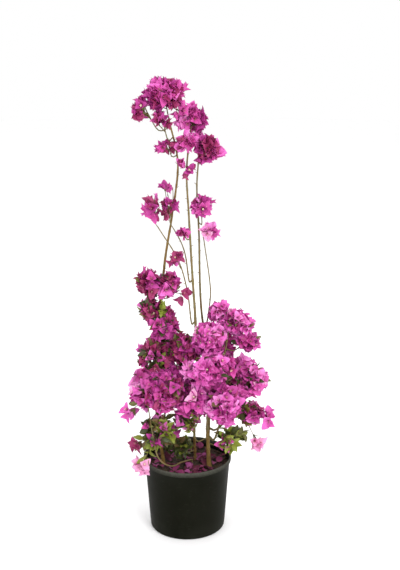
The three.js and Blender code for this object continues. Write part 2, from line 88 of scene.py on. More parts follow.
class SeededNumbers:
    """A seeded source of numbers from 0 to 1, which draws what the part's source draws."""

    MASK = 0xFFFFFFFF
    STEP = 0x6D2B79F5
    STATES = 2**32

    def __init__(self, seed: int) -> None:
        """Start the source from any whole number."""
        self.state = seed & self.MASK

    def __call__(self) -> float:
        """Return the next number."""
        self.state = (self.state + self.STEP) & self.MASK
        t = ((self.state ^ (self.state >> 15)) * (self.state | 1)) & self.MASK
        t ^= (t + (((t ^ (t >> 7)) * (t | 61)) & self.MASK)) & self.MASK
        return (t ^ (t >> 14)) / self.STATES

    def between(self, low: float, high: float) -> float:
        """Return a number from low to high."""
        return low + (high - low) * self()

    def angle(self) -> float:
        """Return an angle anywhere in a whole turn, in radians."""
        return self() * math.tau

    def pick(self, options: Sequence, weights: Sequence[float]):
        """Return one of the options, each as likely as its weight."""
        shares = np.cumsum(weights)
        return options[int(np.searchsorted(shares, self() * shares[-1]))]


def unit(v: Array) -> Array:
    """Return v made one long."""
    return v / np.linalg.norm(v)


def square_to(v: Array, axis: Array) -> Array:
    """Return the part of v that is square to the unit vector axis, made one long."""
    too_short, nearly_upright = 1e-3, 0.9
    across = v - axis * v.dot(axis)
    if np.linalg.norm(across) < too_short:
        across = np.cross(axis, UP if abs(axis[2]) < nearly_upright else SIDEWAYS)
    return unit(across)


def turned(v: Array, axis: Array, angle: float) -> Array:
    """Return v turned about the unit vector axis."""
    cosine, sine = math.cos(angle), math.sin(angle)
    return v * cosine + np.cross(axis, v) * sine + axis * axis.dot(v) * (1 - cosine)


def angle_between(a: Array, b: Array) -> float:
    """Return the angle between two unit vectors."""
    return math.acos(max(-1.0, min(1.0, float(a.dot(b)))))


def leaning(axis: Array, lean: float, roll: float) -> Array:
    """Return axis tipped over by an angle, towards a side that roll chooses."""
    side = turned(square_to(UP, axis), axis, roll)
    return axis * math.cos(lean) + side * math.sin(lean)


def facing_frame(axis: Array, roll: float) -> Array:
    """Return the turn that takes +Z to axis, as a matrix whose columns are the turned axes."""
    side = turned(square_to(UP, axis), axis, roll)
    return np.column_stack((side, np.cross(axis, side), axis))


# ------------------------ shader sheets and finishes


def linear(code: str) -> tuple[float, float, float, float]:
    """Return a screen colour such as "7a6238" as linear light."""
    shares = [int(code[i : i + 2], 16) / 255 for i in (0, 2, 4)]
    red, green, blue = (s / 12.92 if s <= 0.04045 else ((s + 0.055) / 1.055) ** 2.4 for s in shares)
    return (red, green, blue, 1.0)


class Wire:
    """One output of a shader node. Sums and products of wires add their Math nodes."""

    def __init__(self, sheet: "ShaderSheet", socket: bpy.types.NodeSocket) -> None:
        """Hold the sheet that the node is on, and the node's output."""
        self.sheet = sheet
        self.socket = socket

    def _maths(self, operation: str, first: "Wire | float", second: "Wire | float") -> "Wire":
        """Return the output of a Math node on two values."""
        return self.sheet.add("ShaderNodeMath", {"operation": operation}, {0: first, 1: second})

    def __add__(self, other: "Wire | float") -> "Wire":
        """Return this plus other."""
        return self._maths("ADD", self, other)

    __radd__ = __add__

    def __sub__(self, other: "Wire | float") -> "Wire":
        """Return this less other."""
        return self._maths("SUBTRACT", self, other)

    def __rsub__(self, other: float) -> "Wire":
        """Return other less this."""
        return self._maths("SUBTRACT", other, self)

    def __mul__(self, other: "Wire | float") -> "Wire":
        """Return this times other."""
        return self._maths("MULTIPLY", self, other)

    __rmul__ = __mul__

    def size(self) -> "Wire":
        """Return this without its sign."""
        return self._maths("ABSOLUTE", self, 0.0)

    def sine(self) -> "Wire":
        """Return the sine of this."""
        return self._maths("SINE", self, 0.0)

    def or_more(self, other: "Wire | float") -> "Wire":
        """Return the greater of this and other."""
        return self._maths("MAXIMUM", self, other)


class ShaderSheet:
    """A material's nodes, with one Principled shader."""

    def __init__(self, name: str) -> None:
        """Start a material of that name."""
        self.material = bpy.data.materials.new(name)
        self.material.use_nodes = True
        self.nodes = self.material.node_tree.nodes
        self.links = self.material.node_tree.links
        self.shader = self.nodes["Principled BSDF"]

    def add(
        self, kind: str, settings: dict | None = None, inputs: dict | None = None, output: int | str = 0
    ) -> Wire:
        """Add a node.

        Args:
            kind: The node's type.
            settings: What is set on the node first.
            inputs: The values or wires of its sockets, by name or number.
            output: The socket to return, by name or number.

        Returns:
            The wire from that socket.
        """
        node = self.nodes.new(kind)
        for key, value in (settings or {}).items():
            setattr(node, key, value)
        for key, value in (inputs or {}).items():
            self.feed(node.inputs[key], value)
        return Wire(self, node.outputs[output])

    def feed(self, socket: bpy.types.NodeSocket, value: object) -> None:
        """Link a wire to a socket, or set the socket to a plain value or to a screen colour's code."""
        if isinstance(value, Wire):
            self.links.new(value.socket, socket)
        else:
            socket.default_value = linear(value) if isinstance(value, str) else value

    def place(self, stretch: Point = EVEN) -> Wire:
        """Return places on the piece, in metres, divided along each axis by a pattern's stretch."""
        coordinates = self.add("ShaderNodeTexCoord", output="Object")
        scale = tuple(1 / s for s in stretch)
        return self.add("ShaderNodeMapping", None, {"Vector": coordinates, "Scale": scale})

    def split(self, vector: Wire, axis: str) -> Wire:
        """Return one of X, Y and Z of a vector."""
        return self.add("ShaderNodeSeparateXYZ", None, {0: vector}, axis)

    def noise(self, waves: float, detail: float, stretch: Point = EVEN) -> Wire:
        """Return noise from 0 to 1, with so many waves to the metre, and stretched along each axis."""
        inputs = {"Vector": self.place(stretch), "Scale": waves, "Detail": detail}
        return self.add("ShaderNodeTexNoise", None, inputs, "Fac")

    def contrast(self, value: Wire, low: float, high: float) -> Wire:
        """Return value stretched so that low becomes 0 and high becomes 1, and no more."""
        inputs = {"Value": value, "From Min": low, "From Max": high}
        return self.add("ShaderNodeMapRange", None, inputs)

    def patches(
        self, waves: float, detail: float, low: float, high: float, stretch: Point = EVEN
    ) -> Wire:
        """Return noise as patches, which are 0 up to where the noise is low and 1 from where it is high."""
        return self.contrast(self.noise(waves, detail, stretch), low, high)

    def mix(self, share: Wire | float, first: object, second: object) -> Wire:
        """Return a colour between two colours."""
        return self.add("ShaderNodeMix", {"data_type": "RGBA"}, {0: share, 6: first, 7: second}, 2)

    def bump(self, height: Wire, depth: float) -> Wire:
        """Return normals for a height from 0 to 1, with its depth in metres."""
        return self.add("ShaderNodeBump", None, {"Height": height, "Distance": depth}, "Normal")

    def finish(self, **sockets: object) -> None:
        """Set the shader's sockets, whose names have _ for a space."""
        for name, value in sockets.items():
            self.feed(self.shader.inputs[name.replace("_", " ")], value)


@dataclass(frozen=True)
class Finish:
    """A finish of the plant, of its pot or of the studio."""

    name: str

    def paint(self, sheet: ShaderSheet) -> None:
        """Lay the finish out on a sheet."""

    def material(self) -> bpy.types.Material:
        """Return the finish as a material."""
        sheet = ShaderSheet(self.name)
        self.paint(sheet)
        return sheet.material


@dataclass(frozen=True)
class BladeFinish(Finish):
    """A bract or a leaf: a papery or waxy blade with a pale midrib and side veins.

    Its veins follow the blade's own map, across in U and along in V.
    """

    face: str
    vein: str
    root: str
    roughness: float = 0.62
    vein_share: float = 0.35
    root_share: float = 0.5
    side_veins: float = 9.0
    vein_slant: float = 6.0
    relief: float = 0.0004

    MIDRIB = 0.05  # its half-width, as a share of the blade's width
    SIDE_VEIN = 0.75  # the height of a wave from which it shows as a side vein
    SIDE_VEIN_SHARE = 0.6
    BLOTCH_SHARE = 0.22
    ROOT_END = 0.4
    VEIN_RELIEF = 0.4

    def paint(self, sheet: ShaderSheet) -> None:
        """Lay the finish out on a sheet."""
        blade = sheet.add("ShaderNodeUVMap", {"uv_map": JoinedPiece.MAP})
        across, along = sheet.split(blade, "X"), sheet.split(blade, "Y")
        from_middle = (across - 0.5).size()
        midrib = sheet.contrast(from_middle, self.MIDRIB, 0.0)
        wave = along * (math.tau * self.side_veins) - from_middle * (math.tau * self.vein_slant)
        side_veins = sheet.contrast(wave.sine(), self.SIDE_VEIN, 1.0)
        veins = midrib.or_more(side_veins * self.SIDE_VEIN_SHARE)
        blotches = sheet.patches(waves=55.0, detail=2.0, low=0.35, high=0.7)
        near_root = sheet.contrast(along, self.ROOT_END, 0.0) * self.root_share
        face = sheet.mix(blotches * self.BLOTCH_SHARE, self.face, self.vein)
        face = sheet.mix(near_root, face, self.root)
        face = sheet.mix(veins * self.vein_share, face, self.vein)
        crinkle = sheet.noise(waves=420.0, detail=2.0)
        sheet.finish(
            Base_Color=face,
            Roughness=self.roughness + crinkle * 0.12 - 0.06,
            Normal=sheet.bump(crinkle * (1 - self.VEIN_RELIEF) + veins * self.VEIN_RELIEF, self.relief),
        )


@dataclass(frozen=True)
class BarkFinish(Finish):
    """Bark: a ground colour with darker fissures along the stem and patches of another colour."""

    ground: str
    fissure: str
    patch: str
    patch_share: float = 0.5
    stretch: float = 7.0
    fineness: float = 900.0
    relief: float = 0.0006

    SPECK = "b9a67e"
    SPECK_SHARE = 0.3
    FISSURE_SHARE = 0.75

    def paint(self, sheet: ShaderSheet) -> None:
        """Lay the finish out on a sheet."""
        grain = sheet.noise(self.fineness, detail=4.0, stretch=(1.0, 1.0, self.stretch))
        fissures = sheet.contrast(grain, low=0.48, high=0.30)
        patches = sheet.patches(waves=60.0, detail=4.0, low=0.42, high=0.66)
        specks = sheet.patches(waves=1400.0, detail=1.0, low=0.62, high=0.74)
        colour = sheet.mix(patches * self.patch_share, self.ground, self.patch)
        colour = sheet.mix(fissures * self.FISSURE_SHARE, colour, self.fissure)
        colour = sheet.mix(specks * self.SPECK_SHARE, colour, self.SPECK)
        sheet.finish(
            Base_Color=colour,
            Roughness=0.72 + fissures * 0.2,
            Normal=sheet.bump(grain, self.relief),
        )


@dataclass(frozen=True)
class PotFinish(Finish):
    """Moulded nursery plastic: dull and dark, with a lighter grey lip that is partly dust and partly a
    painted highlight, and faint scuffs.
    """

    name: str = "pot_plastic"
    plastic: str = "0e0f07"
    # the lighter grey of dust, also used for the lip's painted highlight
    dust_and_highlight: str = "76766c"
    lip_bottom: float = 0.212
    lip_top: float = 0.230
    splash_height: float = 0.05
    gloss: float = 0.04
    relief: float = 0.0002

    def paint(self, sheet: ShaderSheet) -> None:
        """Lay the finish out on a sheet."""
        height = sheet.split(sheet.place(), "Z")
        film = sheet.patches(waves=9.0, detail=5.0, low=0.35, high=0.75)
        scuffs = sheet.patches(waves=70.0, detail=4.0, low=0.60, high=0.72, stretch=(1.0, 1.0, 0.25))
        mottle = sheet.noise(waves=160.0, detail=3.0)
        # the lip: lighter grey, partly dust and partly a painted highlight
        lip_dust_and_highlight = sheet.contrast(height, self.lip_bottom, self.lip_top)
        splash = sheet.contrast(height, self.splash_height, 0.0) * film
        dust_and_highlight = (lip_dust_and_highlight * (0.14 + 0.42 * mottle)) + film * 0.02 + scuffs * 0.03 + splash * 0.06
        sheet.finish(
            Base_Color=sheet.mix(dust_and_highlight, self.plastic, self.dust_and_highlight),
            Roughness=0.46 + film * 0.14 + lip_dust_and_highlight * 0.16,
            Specular_IOR_Level=self.gloss,
            Normal=sheet.bump(sheet.noise(waves=900.0, detail=2.0) * 0.5 + mottle * 0.5, self.relief),
        )


@dataclass(frozen=True)
class SoilFinish(Finish):
    """Damp potting mix: brown-black, with lighter fibres and crumbs."""

    dark: str = "19120c"
    light: str = "4a3423"
    fibre: str = "7a6042"
    fibre_share: float = 0.6
    relief: float = 0.003

    def paint(self, sheet: ShaderSheet) -> None:
        """Lay the finish out on a sheet."""
        crumbs = sheet.noise(waves=260.0, detail=5.0)
        fibres = sheet.patches(waves=700.0, detail=2.0, low=0.64, high=0.70, stretch=(3.0, 0.6, 1.0))
        lightness = sheet.contrast(crumbs, low=0.35, high=0.68)
        colour = sheet.mix(lightness, self.dark, self.light)
        colour = sheet.mix(fibres * self.fibre_share, colour, self.fibre)
        sheet.finish(
            Base_Color=colour,
            Roughness=0.98 - crumbs * 0.15,
            Normal=sheet.bump(crumbs, self.relief),
        )


@dataclass(frozen=True)
class PetalFinish(Finish):
    """The true flowers' tubes and stars: cream, with a flush of another colour in patches."""

    petal: str
    flush: str
    flush_share: float = 0.6
    relief: float = 0.0003

    def paint(self, sheet: ShaderSheet) -> None:
        """Lay the finish out on a sheet."""
        patches = sheet.noise(waves=300.0, detail=2.0)
        flushed = sheet.contrast(patches, low=0.4, high=0.7) * self.flush_share
        colour = sheet.mix(flushed, self.petal, self.flush)
        sheet.finish(
            Base_Color=colour,
            Roughness=0.45 + patches * 0.2,
            Normal=sheet.bump(patches, self.relief),
        )


@dataclass(frozen=True)
class FloorFinish(Finish):
    """A plain pale studio floor."""

    name: str = "studio_floor"
    colour: str = "ffffff"
    cloud: str = "fdfdfd"
    cloud_share: float = 0.1

    def paint(self, sheet: ShaderSheet) -> None:
        """Lay the finish out on a sheet."""
        mottle = sheet.noise(waves=3.0, detail=2.0)
        colour = sheet.mix(mottle * self.cloud_share, self.colour, self.cloud)
        sheet.finish(Base_Color=colour, Roughness=0.8 + mottle * 0.1)


class Tone(Enum):
    """The tones of the bracts, deep to pale: dealt out by exposure, the deep ones paint shade on the shaded
    side and the light ones paint light on the sunlit side; the palest also show faded bracts.
    """

    CLARET = BladeFinish("bract_claret", "a23068", "781c4a", "b4607e")
    DEEP = BladeFinish("bract_deep", "b83a92", "8e246e", "c0689c")
    WINE = BladeFinish("bract_wine", "d04ea4", "a83482", "d880b0")
    BRIGHT = BladeFinish("bract_bright", "e26ac0", "bc449c", "e496c8")
    LIGHT = BladeFinish("bract_light", "ee90d4", "d060b4", "f0b2da")
    PALE = BladeFinish("bract_pale", "f2aed6", "da78b4", "f4cade")


def leaf_finish(name: str, face: str, vein: str, root: str, roughness: float, veins: float) -> BladeFinish:
    """Return a leaf's finish, which has fewer and flatter veins than a bract's, in a higher relief."""
    leaf = {"root_share": 0.3, "side_veins": 7.0, "vein_slant": 5.0, "relief": 0.0005}
    return BladeFinish(name, face, vein, root, roughness, veins, **leaf)


class Green(Enum):
    """The greens of the leaves."""

    DARK = leaf_finish("leaf_dark", "343c17", "555c2a", "4a4c20", 0.42, 0.5)
    OLIVE = leaf_finish("leaf_olive", "5f6229", "85854a", "77683a", 0.42, 0.45)
    LIME = leaf_finish("leaf_lime", "7f8c2c", "a3a854", "948b3c", 0.45, 0.4)
    BRONZE = leaf_finish("leaf_bronze", "6e5a34", "94815a", "80504a", 0.42, 0.4)


class Exposure(Enum):
    """How much light a mass gets, as painted light and shade: how likely each tone of its bracts, and each
    green of its leaves, is.
    """

    SUNLIT = ((0.0, 0.08, 0.25, 0.37, 0.24, 0.06), (0.30, 0.42, 0.10, 0.18))
    OPEN = ((0.03, 0.14, 0.27, 0.33, 0.18, 0.05), (0.30, 0.38, 0.16, 0.16))
    HIGH = ((0.20, 0.42, 0.29, 0.08, 0.01, 0.0), (0.25, 0.50, 0.10, 0.15))
    DAPPLED = ((0.18, 0.33, 0.24, 0.15, 0.08, 0.02), (0.34, 0.36, 0.14, 0.16))
    SHADED = ((0.32, 0.34, 0.23, 0.09, 0.02, 0.0), (0.42, 0.30, 0.16, 0.12))
    # painted light: the palest tones, for the most brightly lit masses, and partly faded bracts
    FADED = ((0.0, 0.03, 0.16, 0.33, 0.36, 0.12), (0.30, 0.40, 0.20, 0.10))
    LOW = ((0.06, 0.18, 0.26, 0.26, 0.16, 0.08), (0.26, 0.36, 0.28, 0.10))

    def tone(self, random: SeededNumbers) -> Tone:
        """Deal a tone to a spray of bracts."""
        return random.pick(list(Tone), self.value[0])

    def green(self, random: SeededNumbers) -> Green:
        """Deal a green to a spray of leaves."""
        return random.pick(list(Green), self.value[1])


# ------------------------ small shapes, and pieces joined from them


@dataclass(frozen=True)
class Shape:
    """A small shape that is modelled once and copied. It faces +Z and is about one long."""

    vertices: Array
    faces: list[tuple[int, ...]]
    map: Array

    @staticmethod
    def merged(shapes: Sequence["Shape"]) -> "Shape":
        """Return several shapes as one."""
        faces, count = [], 0
        for shape in shapes:
            faces += [tuple(corner + count for corner in face) for face in shape.faces]
            count += len(shape.vertices)
        vertices = np.vstack([shape.vertices for shape in shapes])
        return Shape(vertices, faces, np.vstack([shape.map for shape in shapes]))

    def turned(self, matrix: Array, shift: Point = (0.0, 0.0, 0.0)) -> "Shape":
        """Return the shape turned or scaled by a matrix, and then shifted."""
        return Shape(self.vertices @ matrix.T + np.array(shift), self.faces, self.map)


class JoinedPiece:
    """Copies of small shapes, gathered in millimetres and joined into one piece of the object."""

    MAP = "blade"

    def __init__(self, name: str, slot: str) -> None:
        """Start an empty piece. Its slot, one of the record's material slots, is not used."""
        self.name = name
        self.slot = slot
        self.vertices: list[Array] = []
        self.faces: list[tuple[int, ...]] = []
        self.map: list[Array] = []
        self.count = 0
        self.stands_for: set[str] = set()

    def add(self, shape: Shape, place: Array, turn: Array, size: float, node: str = "") -> None:
        """Add a copy of a shape.

        Args:
            shape: What is copied.
            place: Where its origin goes.
            turn: How it is turned.
            size: How long it is.
            node: The CAD node that it belongs to, if any.
        """
        self.vertices.append(shape.vertices @ (turn.T * size) + place)
        first = self.count
        self.faces += [tuple(corner + first for corner in face) for face in shape.faces]
        self.map.append(shape.map)
        self.count += len(shape.vertices)
        if node:
            self.stands_for.add(node)

    def build(self, finish: "Finish") -> None:
        """Make the piece, dress it and hand it to the frame."""
        mesh = bpy.data.meshes.new(self.name)
        mesh.from_pydata(np.vstack(self.vertices) * MM, [], self.faces)
        corners = mesh.uv_layers.new(name=self.MAP)
        corners.data.foreach_set("uv", np.vstack(self.map).astype(np.float32).ravel())
        mesh.polygons.foreach_set("use_smooth", np.ones(len(mesh.polygons), dtype=bool))
        mesh.update()
        piece = bpy.data.objects.new(self.name, mesh)
        bpy.context.collection.objects.link(piece)
        hand_over(piece, finish.material(), sorted(self.stands_for))


def hand_over(
    piece: bpy.types.Object, material: bpy.types.Material, nodes: Sequence[str]
) -> None:
    """Dress a finished piece, tie it to the frame and report it.

    Args:
        piece: The finished object, with its place in its mesh.
        material: Its finish.
        nodes: The CAD nodes that it stands for, if any.
    """
    piece.data.materials.clear()
    piece.data.materials.append(material)
    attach(piece, BODY)
    if nodes:
        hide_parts(*nodes)
    triangles = sum(len(face.vertices) - 2 for face in piece.data.polygons)
    log.info("%s: %d triangles, in place of %d nodes", piece.name, triangles, len(nodes))


@dataclass(frozen=True)
class Blade:
    """A pointed blade that springs from the origin: a bract of a bloom, or a leaf."""

    half_widths: tuple[float, ...]
    stations: tuple[float, ...]
    width: float
    rise_degrees: float
    fall_degrees: float
    cup: float
    ripple: float
    twist_degrees: float

    COLUMNS = (-1.0, -0.5, 0.0, 0.5, 1.0)
    RIPPLES = 9.0  # radians of the ripple along the blade
    RIPPLE_SLANT = 2.2

    @classmethod
    def corner(cls, row: int, column: int) -> int:
        """Return the number of a corner of the grid. The tip is the first corner of the last row."""
        return row * len(cls.COLUMNS) + column

    def shape(self) -> Shape:
        """Return the blade, one long, which starts near +Z and bends over towards +X in the XZ plane."""
        across = np.array(self.COLUMNS)
        rows, maps = [], []
        place = np.zeros(3)
        last = 0.0
        for station, half in zip(self.stations, self.half_widths):
            lean = math.radians(self.rise_degrees + (self.fall_degrees - self.rise_degrees) * station)
            along = np.array((math.sin(lean), 0.0, math.cos(lean)))
            inward = np.array((-math.cos(lean), 0.0, math.sin(lean)))
            place = place + along * (station - last)
            last = station
            roll = math.radians(self.twist_degrees) * station
            side = np.array((0.0, 1.0, 0.0)) * math.cos(roll) + inward * math.sin(roll)
            reach = half * self.width
            wave = np.sin(self.RIPPLES * station + self.RIPPLE_SLANT * across)
            lift = self.cup * reach * across**2 + self.ripple * reach * wave
            row = place + np.outer(across * reach, side) + np.outer(lift, inward)
            rows.append(row)
            maps.append(np.column_stack((0.5 + across / 2, np.full(len(across), station))))
        return self._woven(rows, maps)

    def _woven(self, rows: list[Array], maps: list[Array]) -> Shape:
        """Return the faces between the rows, the last of which is one point."""
        middle = len(self.COLUMNS) // 2
        vertices = np.vstack((*rows[:-1], rows[-1][middle]))
        corners = np.vstack((*maps[:-1], maps[-1][middle]))
        faces = []
        for row in range(len(rows) - 2):
            for column in range(len(self.COLUMNS) - 1):
                start, above = self.corner(row, column), self.corner(row + 1, column)
                faces.append((start, start + 1, above + 1, above))
        tip = len(vertices) - 1
        last_row = [self.corner(len(rows) - 2, column) for column in range(len(self.COLUMNS) - 1)]
        faces += [(start, start + 1, tip) for start in last_row]
        loops = np.vstack([corners[list(face)] for face in faces])
        return Shape(vertices, faces, loops)


def turn_about_z(angle: float) -> Array:
    """Return a turn about +Z as a matrix."""
    cosine, sine = math.cos(angle), math.sin(angle)
    return np.array(((cosine, -sine, 0.0), (sine, cosine, 0.0), (0.0, 0.0, 1.0)))


def tube_shape(points: Array, radii: Sequence[float], sides: int) -> Shape:
    """Return a tube along points, whose ends close to a point.

    Args:
        points: The middle of each ring.
        radii: The radius of each ring.
        sides: How many sides it has.

    Returns:
        The tube, with its own map round in U and along in V.
    """
    steps = np.diff(points, axis=0)
    along = np.vstack((steps[:1], steps[1:] + steps[:-1], steps[-1:]))
    side = square_to(UP, unit(along[0]))
    angles = np.arange(sides) * math.tau / sides
    next_side = [(i + 1) % sides for i in range(sides)]
    rings = []
    for middle, radius, way in zip(points, radii, along):
        axis = unit(way)
        side = square_to(side, axis)
        other = np.cross(axis, side)
        rings.append(middle + radius * (np.outer(np.cos(angles), side) + np.outer(np.sin(angles), other)))
    count = len(rings)
    vertices = np.vstack((*rings, points[0], points[-1]))
    faces, loops = [], []
    for ring in range(count - 1):
        first, above = ring * sides, (ring + 1) * sides
        low, high = ring / (count - 1), (ring + 1) / (count - 1)
        for i, j in enumerate(next_side):
            faces.append((first + i, first + j, above + j, above + i))
            left, right = i / sides, (i + 1) / sides
            loops += [(left, low), (right, low), (right, high), (left, high)]
    root, tip = len(vertices) - 2, len(vertices) - 1
    last = (count - 1) * sides
    for i, j in enumerate(next_side):
        faces += [(j, i, root), (last + i, last + j, tip)]
        loops += [(0.5, 0.0)] * 3 + [(0.5, 1.0)] * 3
    return Shape(vertices, faces, np.array(loops))


class BloomPattern:
    """The small shapes of a bloom: three cupped bracts, and the tube and star of a true flower."""

    BRACTS = 3
    BRACT_ROWS = (0.0, 0.14, 0.34, 0.58, 0.82, 1.0)
    SHOULDER = 2  # the row at which a bract is widest
    ROUND = (0.13, 0.41, 0.5, 0.44, 0.23, 0.0)
    POINTED = (0.11, 0.38, 0.5, 0.42, 0.21, 0.0)

    BUD = 5  # the last of the kinds
    TUBE_LENGTH = 0.52

    # each kind: how far a bract leans at its root and at its tip, in degrees, its width and its cup
    OPEN = (
        (14, 60, 0.72, 0.40),
        (18, 50, 0.68, 0.50),
        (24, 80, 0.76, 0.32),
        (10, 40, 0.66, 0.58),
        (20, 70, 0.74, 0.38),
        (4, 20, 0.40, 1.00),
    )
    UPRIGHT = (
        (12, 48, 0.68, 0.46),
        (8, 36, 0.64, 0.56),
        (16, 60, 0.72, 0.38),
        (5, 28, 0.60, 0.64),
        (14, 54, 0.70, 0.42),
        (3, 14, 0.38, 1.00),
    )

    def __init__(self, half_widths: tuple[float, ...], kinds: Sequence[tuple[float, ...]]) -> None:
        """Model each kind of bloom once.

        Args:
            half_widths: A bract's half-width at each of its rows.
            kinds: How the bracts of each kind open.
        """
        self.half_widths = half_widths
        self.blooms = [self._bloom(i, *kind) for i, kind in enumerate(kinds)]
        self.fallen = self._bract(rise=62, fall=96, width=0.7, cup=0.35, ripple=0.16, twist=14)
        self.star = self._star()
        tube = np.array(((0, 0, 0), (0, 0, 0.3), (0, 0, self.TUBE_LENGTH)))
        self.tube = tube_shape(tube, radii=(0.035, 0.045, 0.032), sides=5)

    def _bract(
        self, rise: float, fall: float, width: float, cup: float, ripple: float, twist: float
    ) -> Shape:
        """Return one bract."""
        return Blade(self.half_widths, self.BRACT_ROWS, width, rise, fall, cup, ripple, twist).shape()

    def _bloom(self, kind: int, rise: float, fall: float, width: float, cup: float) -> Shape:
        """Return three bracts round the axis, each a little unlike the next."""
        bracts = []
        growth, from_axis = 0.01, 0.02
        for i in range(self.BRACTS):
            sway = 7 * math.sin(kind * 2.1 + i * 2.6)
            bract = self._bract(rise + sway, fall + 1.6 * sway, width, cup, ripple=0.10, twist=2.2 * sway)
            turn = turn_about_z(math.tau * i / self.BRACTS + math.radians(sway))
            shift = (from_axis * turn[0, 0], from_axis * turn[1, 0], 0.0)
            bracts.append(bract.turned(turn * (1 + growth * sway), shift))
        return Shape.merged(bracts)

    def outline(self) -> list[int]:
        """Return the corners at the tips and the shoulders of a bloom's three bracts."""
        rows, edge = len(self.BRACT_ROWS), len(Blade.COLUMNS) - 1
        tip = Blade.corner(rows - 1, 0)
        ends = (tip, Blade.corner(self.SHOULDER, 0), Blade.corner(self.SHOULDER, edge))
        return [i * (tip + 1) + corner for i in range(self.BRACTS) for corner in ends]

    @staticmethod
    def _star() -> Shape:
        """Return the open mouth of a true flower: five lobes round a small throat."""
        throat, lobe, notch = 0.5, (0.155, 0.545), (0.07, 0.53)
        lobes = 5
        points = [(0.0, 0.0, throat)]
        for i in range(2 * lobes):
            reach, height = notch if i % 2 else lobe
            angle = i * math.pi / lobes
            points.append((reach * math.cos(angle), reach * math.sin(angle), height))
        faces = [(0, 1 + i, 1 + (i + 1) % (2 * lobes)) for i in range(2 * lobes)]
        return Shape(np.array(points), faces, np.full((3 * len(faces), 2), 0.5))


class LeafPattern:
    """The small shapes of the leaves: ovate blades on short stalks, flat, folded or curled."""

    ROWS = (0.0, 0.12, 0.32, 0.56, 0.80, 1.0)
    WIDTHS = (0.06, 0.30, 0.5, 0.43, 0.22, 0.0)
    STALK = 0.16
    SHOULDER = 2  # the row at which a leaf is widest

    # each kind: how far it leans at its root and at its tip, in degrees, its width, cup, ripple and twist
    KINDS = (
        (8, 34, 0.62, 0.22, 0.03, 8),
        (2, 50, 0.56, 0.50, 0.05, -10),
        (12, 22, 0.66, 0.14, 0.06, 5),
        (4, 78, 0.54, 0.62, 0.08, 16),
    )

    def __init__(self) -> None:
        """Model each kind of leaf once. Each starts along +Z and bends over towards +X."""
        self.leaves = [self._leaf(*kind) for kind in self.KINDS]

    def _leaf(
        self, rise: float, fall: float, width: float, cup: float, ripple: float, twist: float
    ) -> Shape:
        """Return a leaf and its stalk."""
        blade = Blade(self.WIDTHS, self.ROWS, width, rise, fall, cup, ripple, twist)
        stalk = np.array(((0.0, 0.0, -self.STALK), (0.0, 0.0, 0.03)))
        return Shape.merged((blade.shape(), tube_shape(stalk, radii=(0.014, 0.012), sides=4)))

    def outline(self) -> list[int]:
        """Return the corners at the middle and the edges of a leaf's widest row, and at its tip."""
        middle, edge = len(Blade.COLUMNS) // 2, len(Blade.COLUMNS) - 1
        widest = [Blade.corner(self.SHOULDER, column) for column in (middle, 0, edge)]
        return [*widest, Blade.corner(len(self.ROWS) - 1, 0)]


# ------------------------ routes, limbs and the skeleton


class Route:
    """A smooth curve through places. Its shares of length are those of the part's source."""

    DIVISIONS = 200
    NEAR_END = 0.9999

    def __init__(self, points: Sequence[Point]) -> None:
        """Lay the curve through places in millimetres."""
        inner = np.array([np.array(point, dtype=float) for point in points])
        before, after = 2 * inner[0] - inner[1], 2 * inner[-1] - inner[-2]
        self.points = np.vstack((before, inner, after))
        self.spans = len(inner) - 1
        self.parameters = np.linspace(0, 1, self.DIVISIONS + 1)
        steps = np.linalg.norm(np.diff(self._at_parameter(self.parameters), axis=0), axis=1)
        self.reached = np.concatenate(([0.0], np.cumsum(steps)))
        self.length = float(self.reached[-1])

    def _at_parameter(self, parameter: Array) -> Array:
        """Return the places at parameters from 0 to 1."""
        scaled = np.atleast_1d(parameter) * self.spans
        span = np.minimum(scaled.astype(int), self.spans - 1)
        w = (scaled - span)[:, None]
        p0, p1, p2, p3 = (self.points[span + i] for i in range(4))
        leave, arrive = 0.5 * (p2 - p0), 0.5 * (p3 - p1)
        cubic = 2 * p1 - 2 * p2 + leave + arrive
        square = -3 * p1 + 3 * p2 - 2 * leave - arrive
        return p1 + leave * w + square * w**2 + cubic * w**3

    def at(self, shares: Array | float) -> Array:
        """Return the places at shares of the length: one place for one share."""
        wanted = np.interp(np.atleast_1d(shares) * self.length, self.reached, self.parameters)
        places = self._at_parameter(wanted)
        return places[0] if np.isscalar(shares) else places

    def way_at_end(self) -> Array:
        """Return the direction in which the curve ends."""
        before, end = self._at_parameter(np.array((self.NEAR_END, 1.0)))
        return unit(end - before)


@dataclass
class Limb:
    """A tapering limb along a route, in millimetres. It can swell at its foot."""

    name: str
    points: list[Point]
    root_radius: float
    tip_radius: float
    flare: float = 0.0
    step_length: float = 56.0
    flare_height: float = 14.0
    inner_start: Array | None = None

    HEIGHT_STEPS = 400
    SPACING = 4.0

    def __post_init__(self) -> None:
        """Lay the route."""
        self.route = Route(self.points)
        self.steps = max(math.ceil(self.route.length / self.step_length), 2)

    def radius_at(self, share: Array | float) -> Array | float:
        """Return the radius at a share of the length."""
        even = self.root_radius + (self.tip_radius - self.root_radius) * share
        return even + self.flare * np.exp(-share * self.route.length / self.flare_height)

    def middle_at(self, share: float) -> tuple[Array, Array]:
        """Return the middle of the source's straight-stepped tube at a share, and the way it runs."""
        step = min(math.floor(share * self.steps), self.steps - 1)
        start, end = self.route.at(step / self.steps), self.route.at((step + 1) / self.steps)
        return start + (end - start) * (share * self.steps - step), unit(end - start)

    def share_at_height(self, height: float) -> float:
        """Return the share of the length at which the limb first passes a height."""
        heights = self.route.at(np.linspace(0, 1, self.HEIGHT_STEPS + 1))[:, 2]
        passed = np.nonzero(heights >= height)[0]
        return float(passed[0]) / self.HEIGHT_STEPS if len(passed) else 1.0

    def samples(self) -> Array:
        """Return places along the limb, each with its radius as a fourth number."""
        shares = np.linspace(0, 1, math.ceil(self.route.length / self.SPACING) + 1)
        return np.column_stack((self.route.at(shares), self.radius_at(shares)))


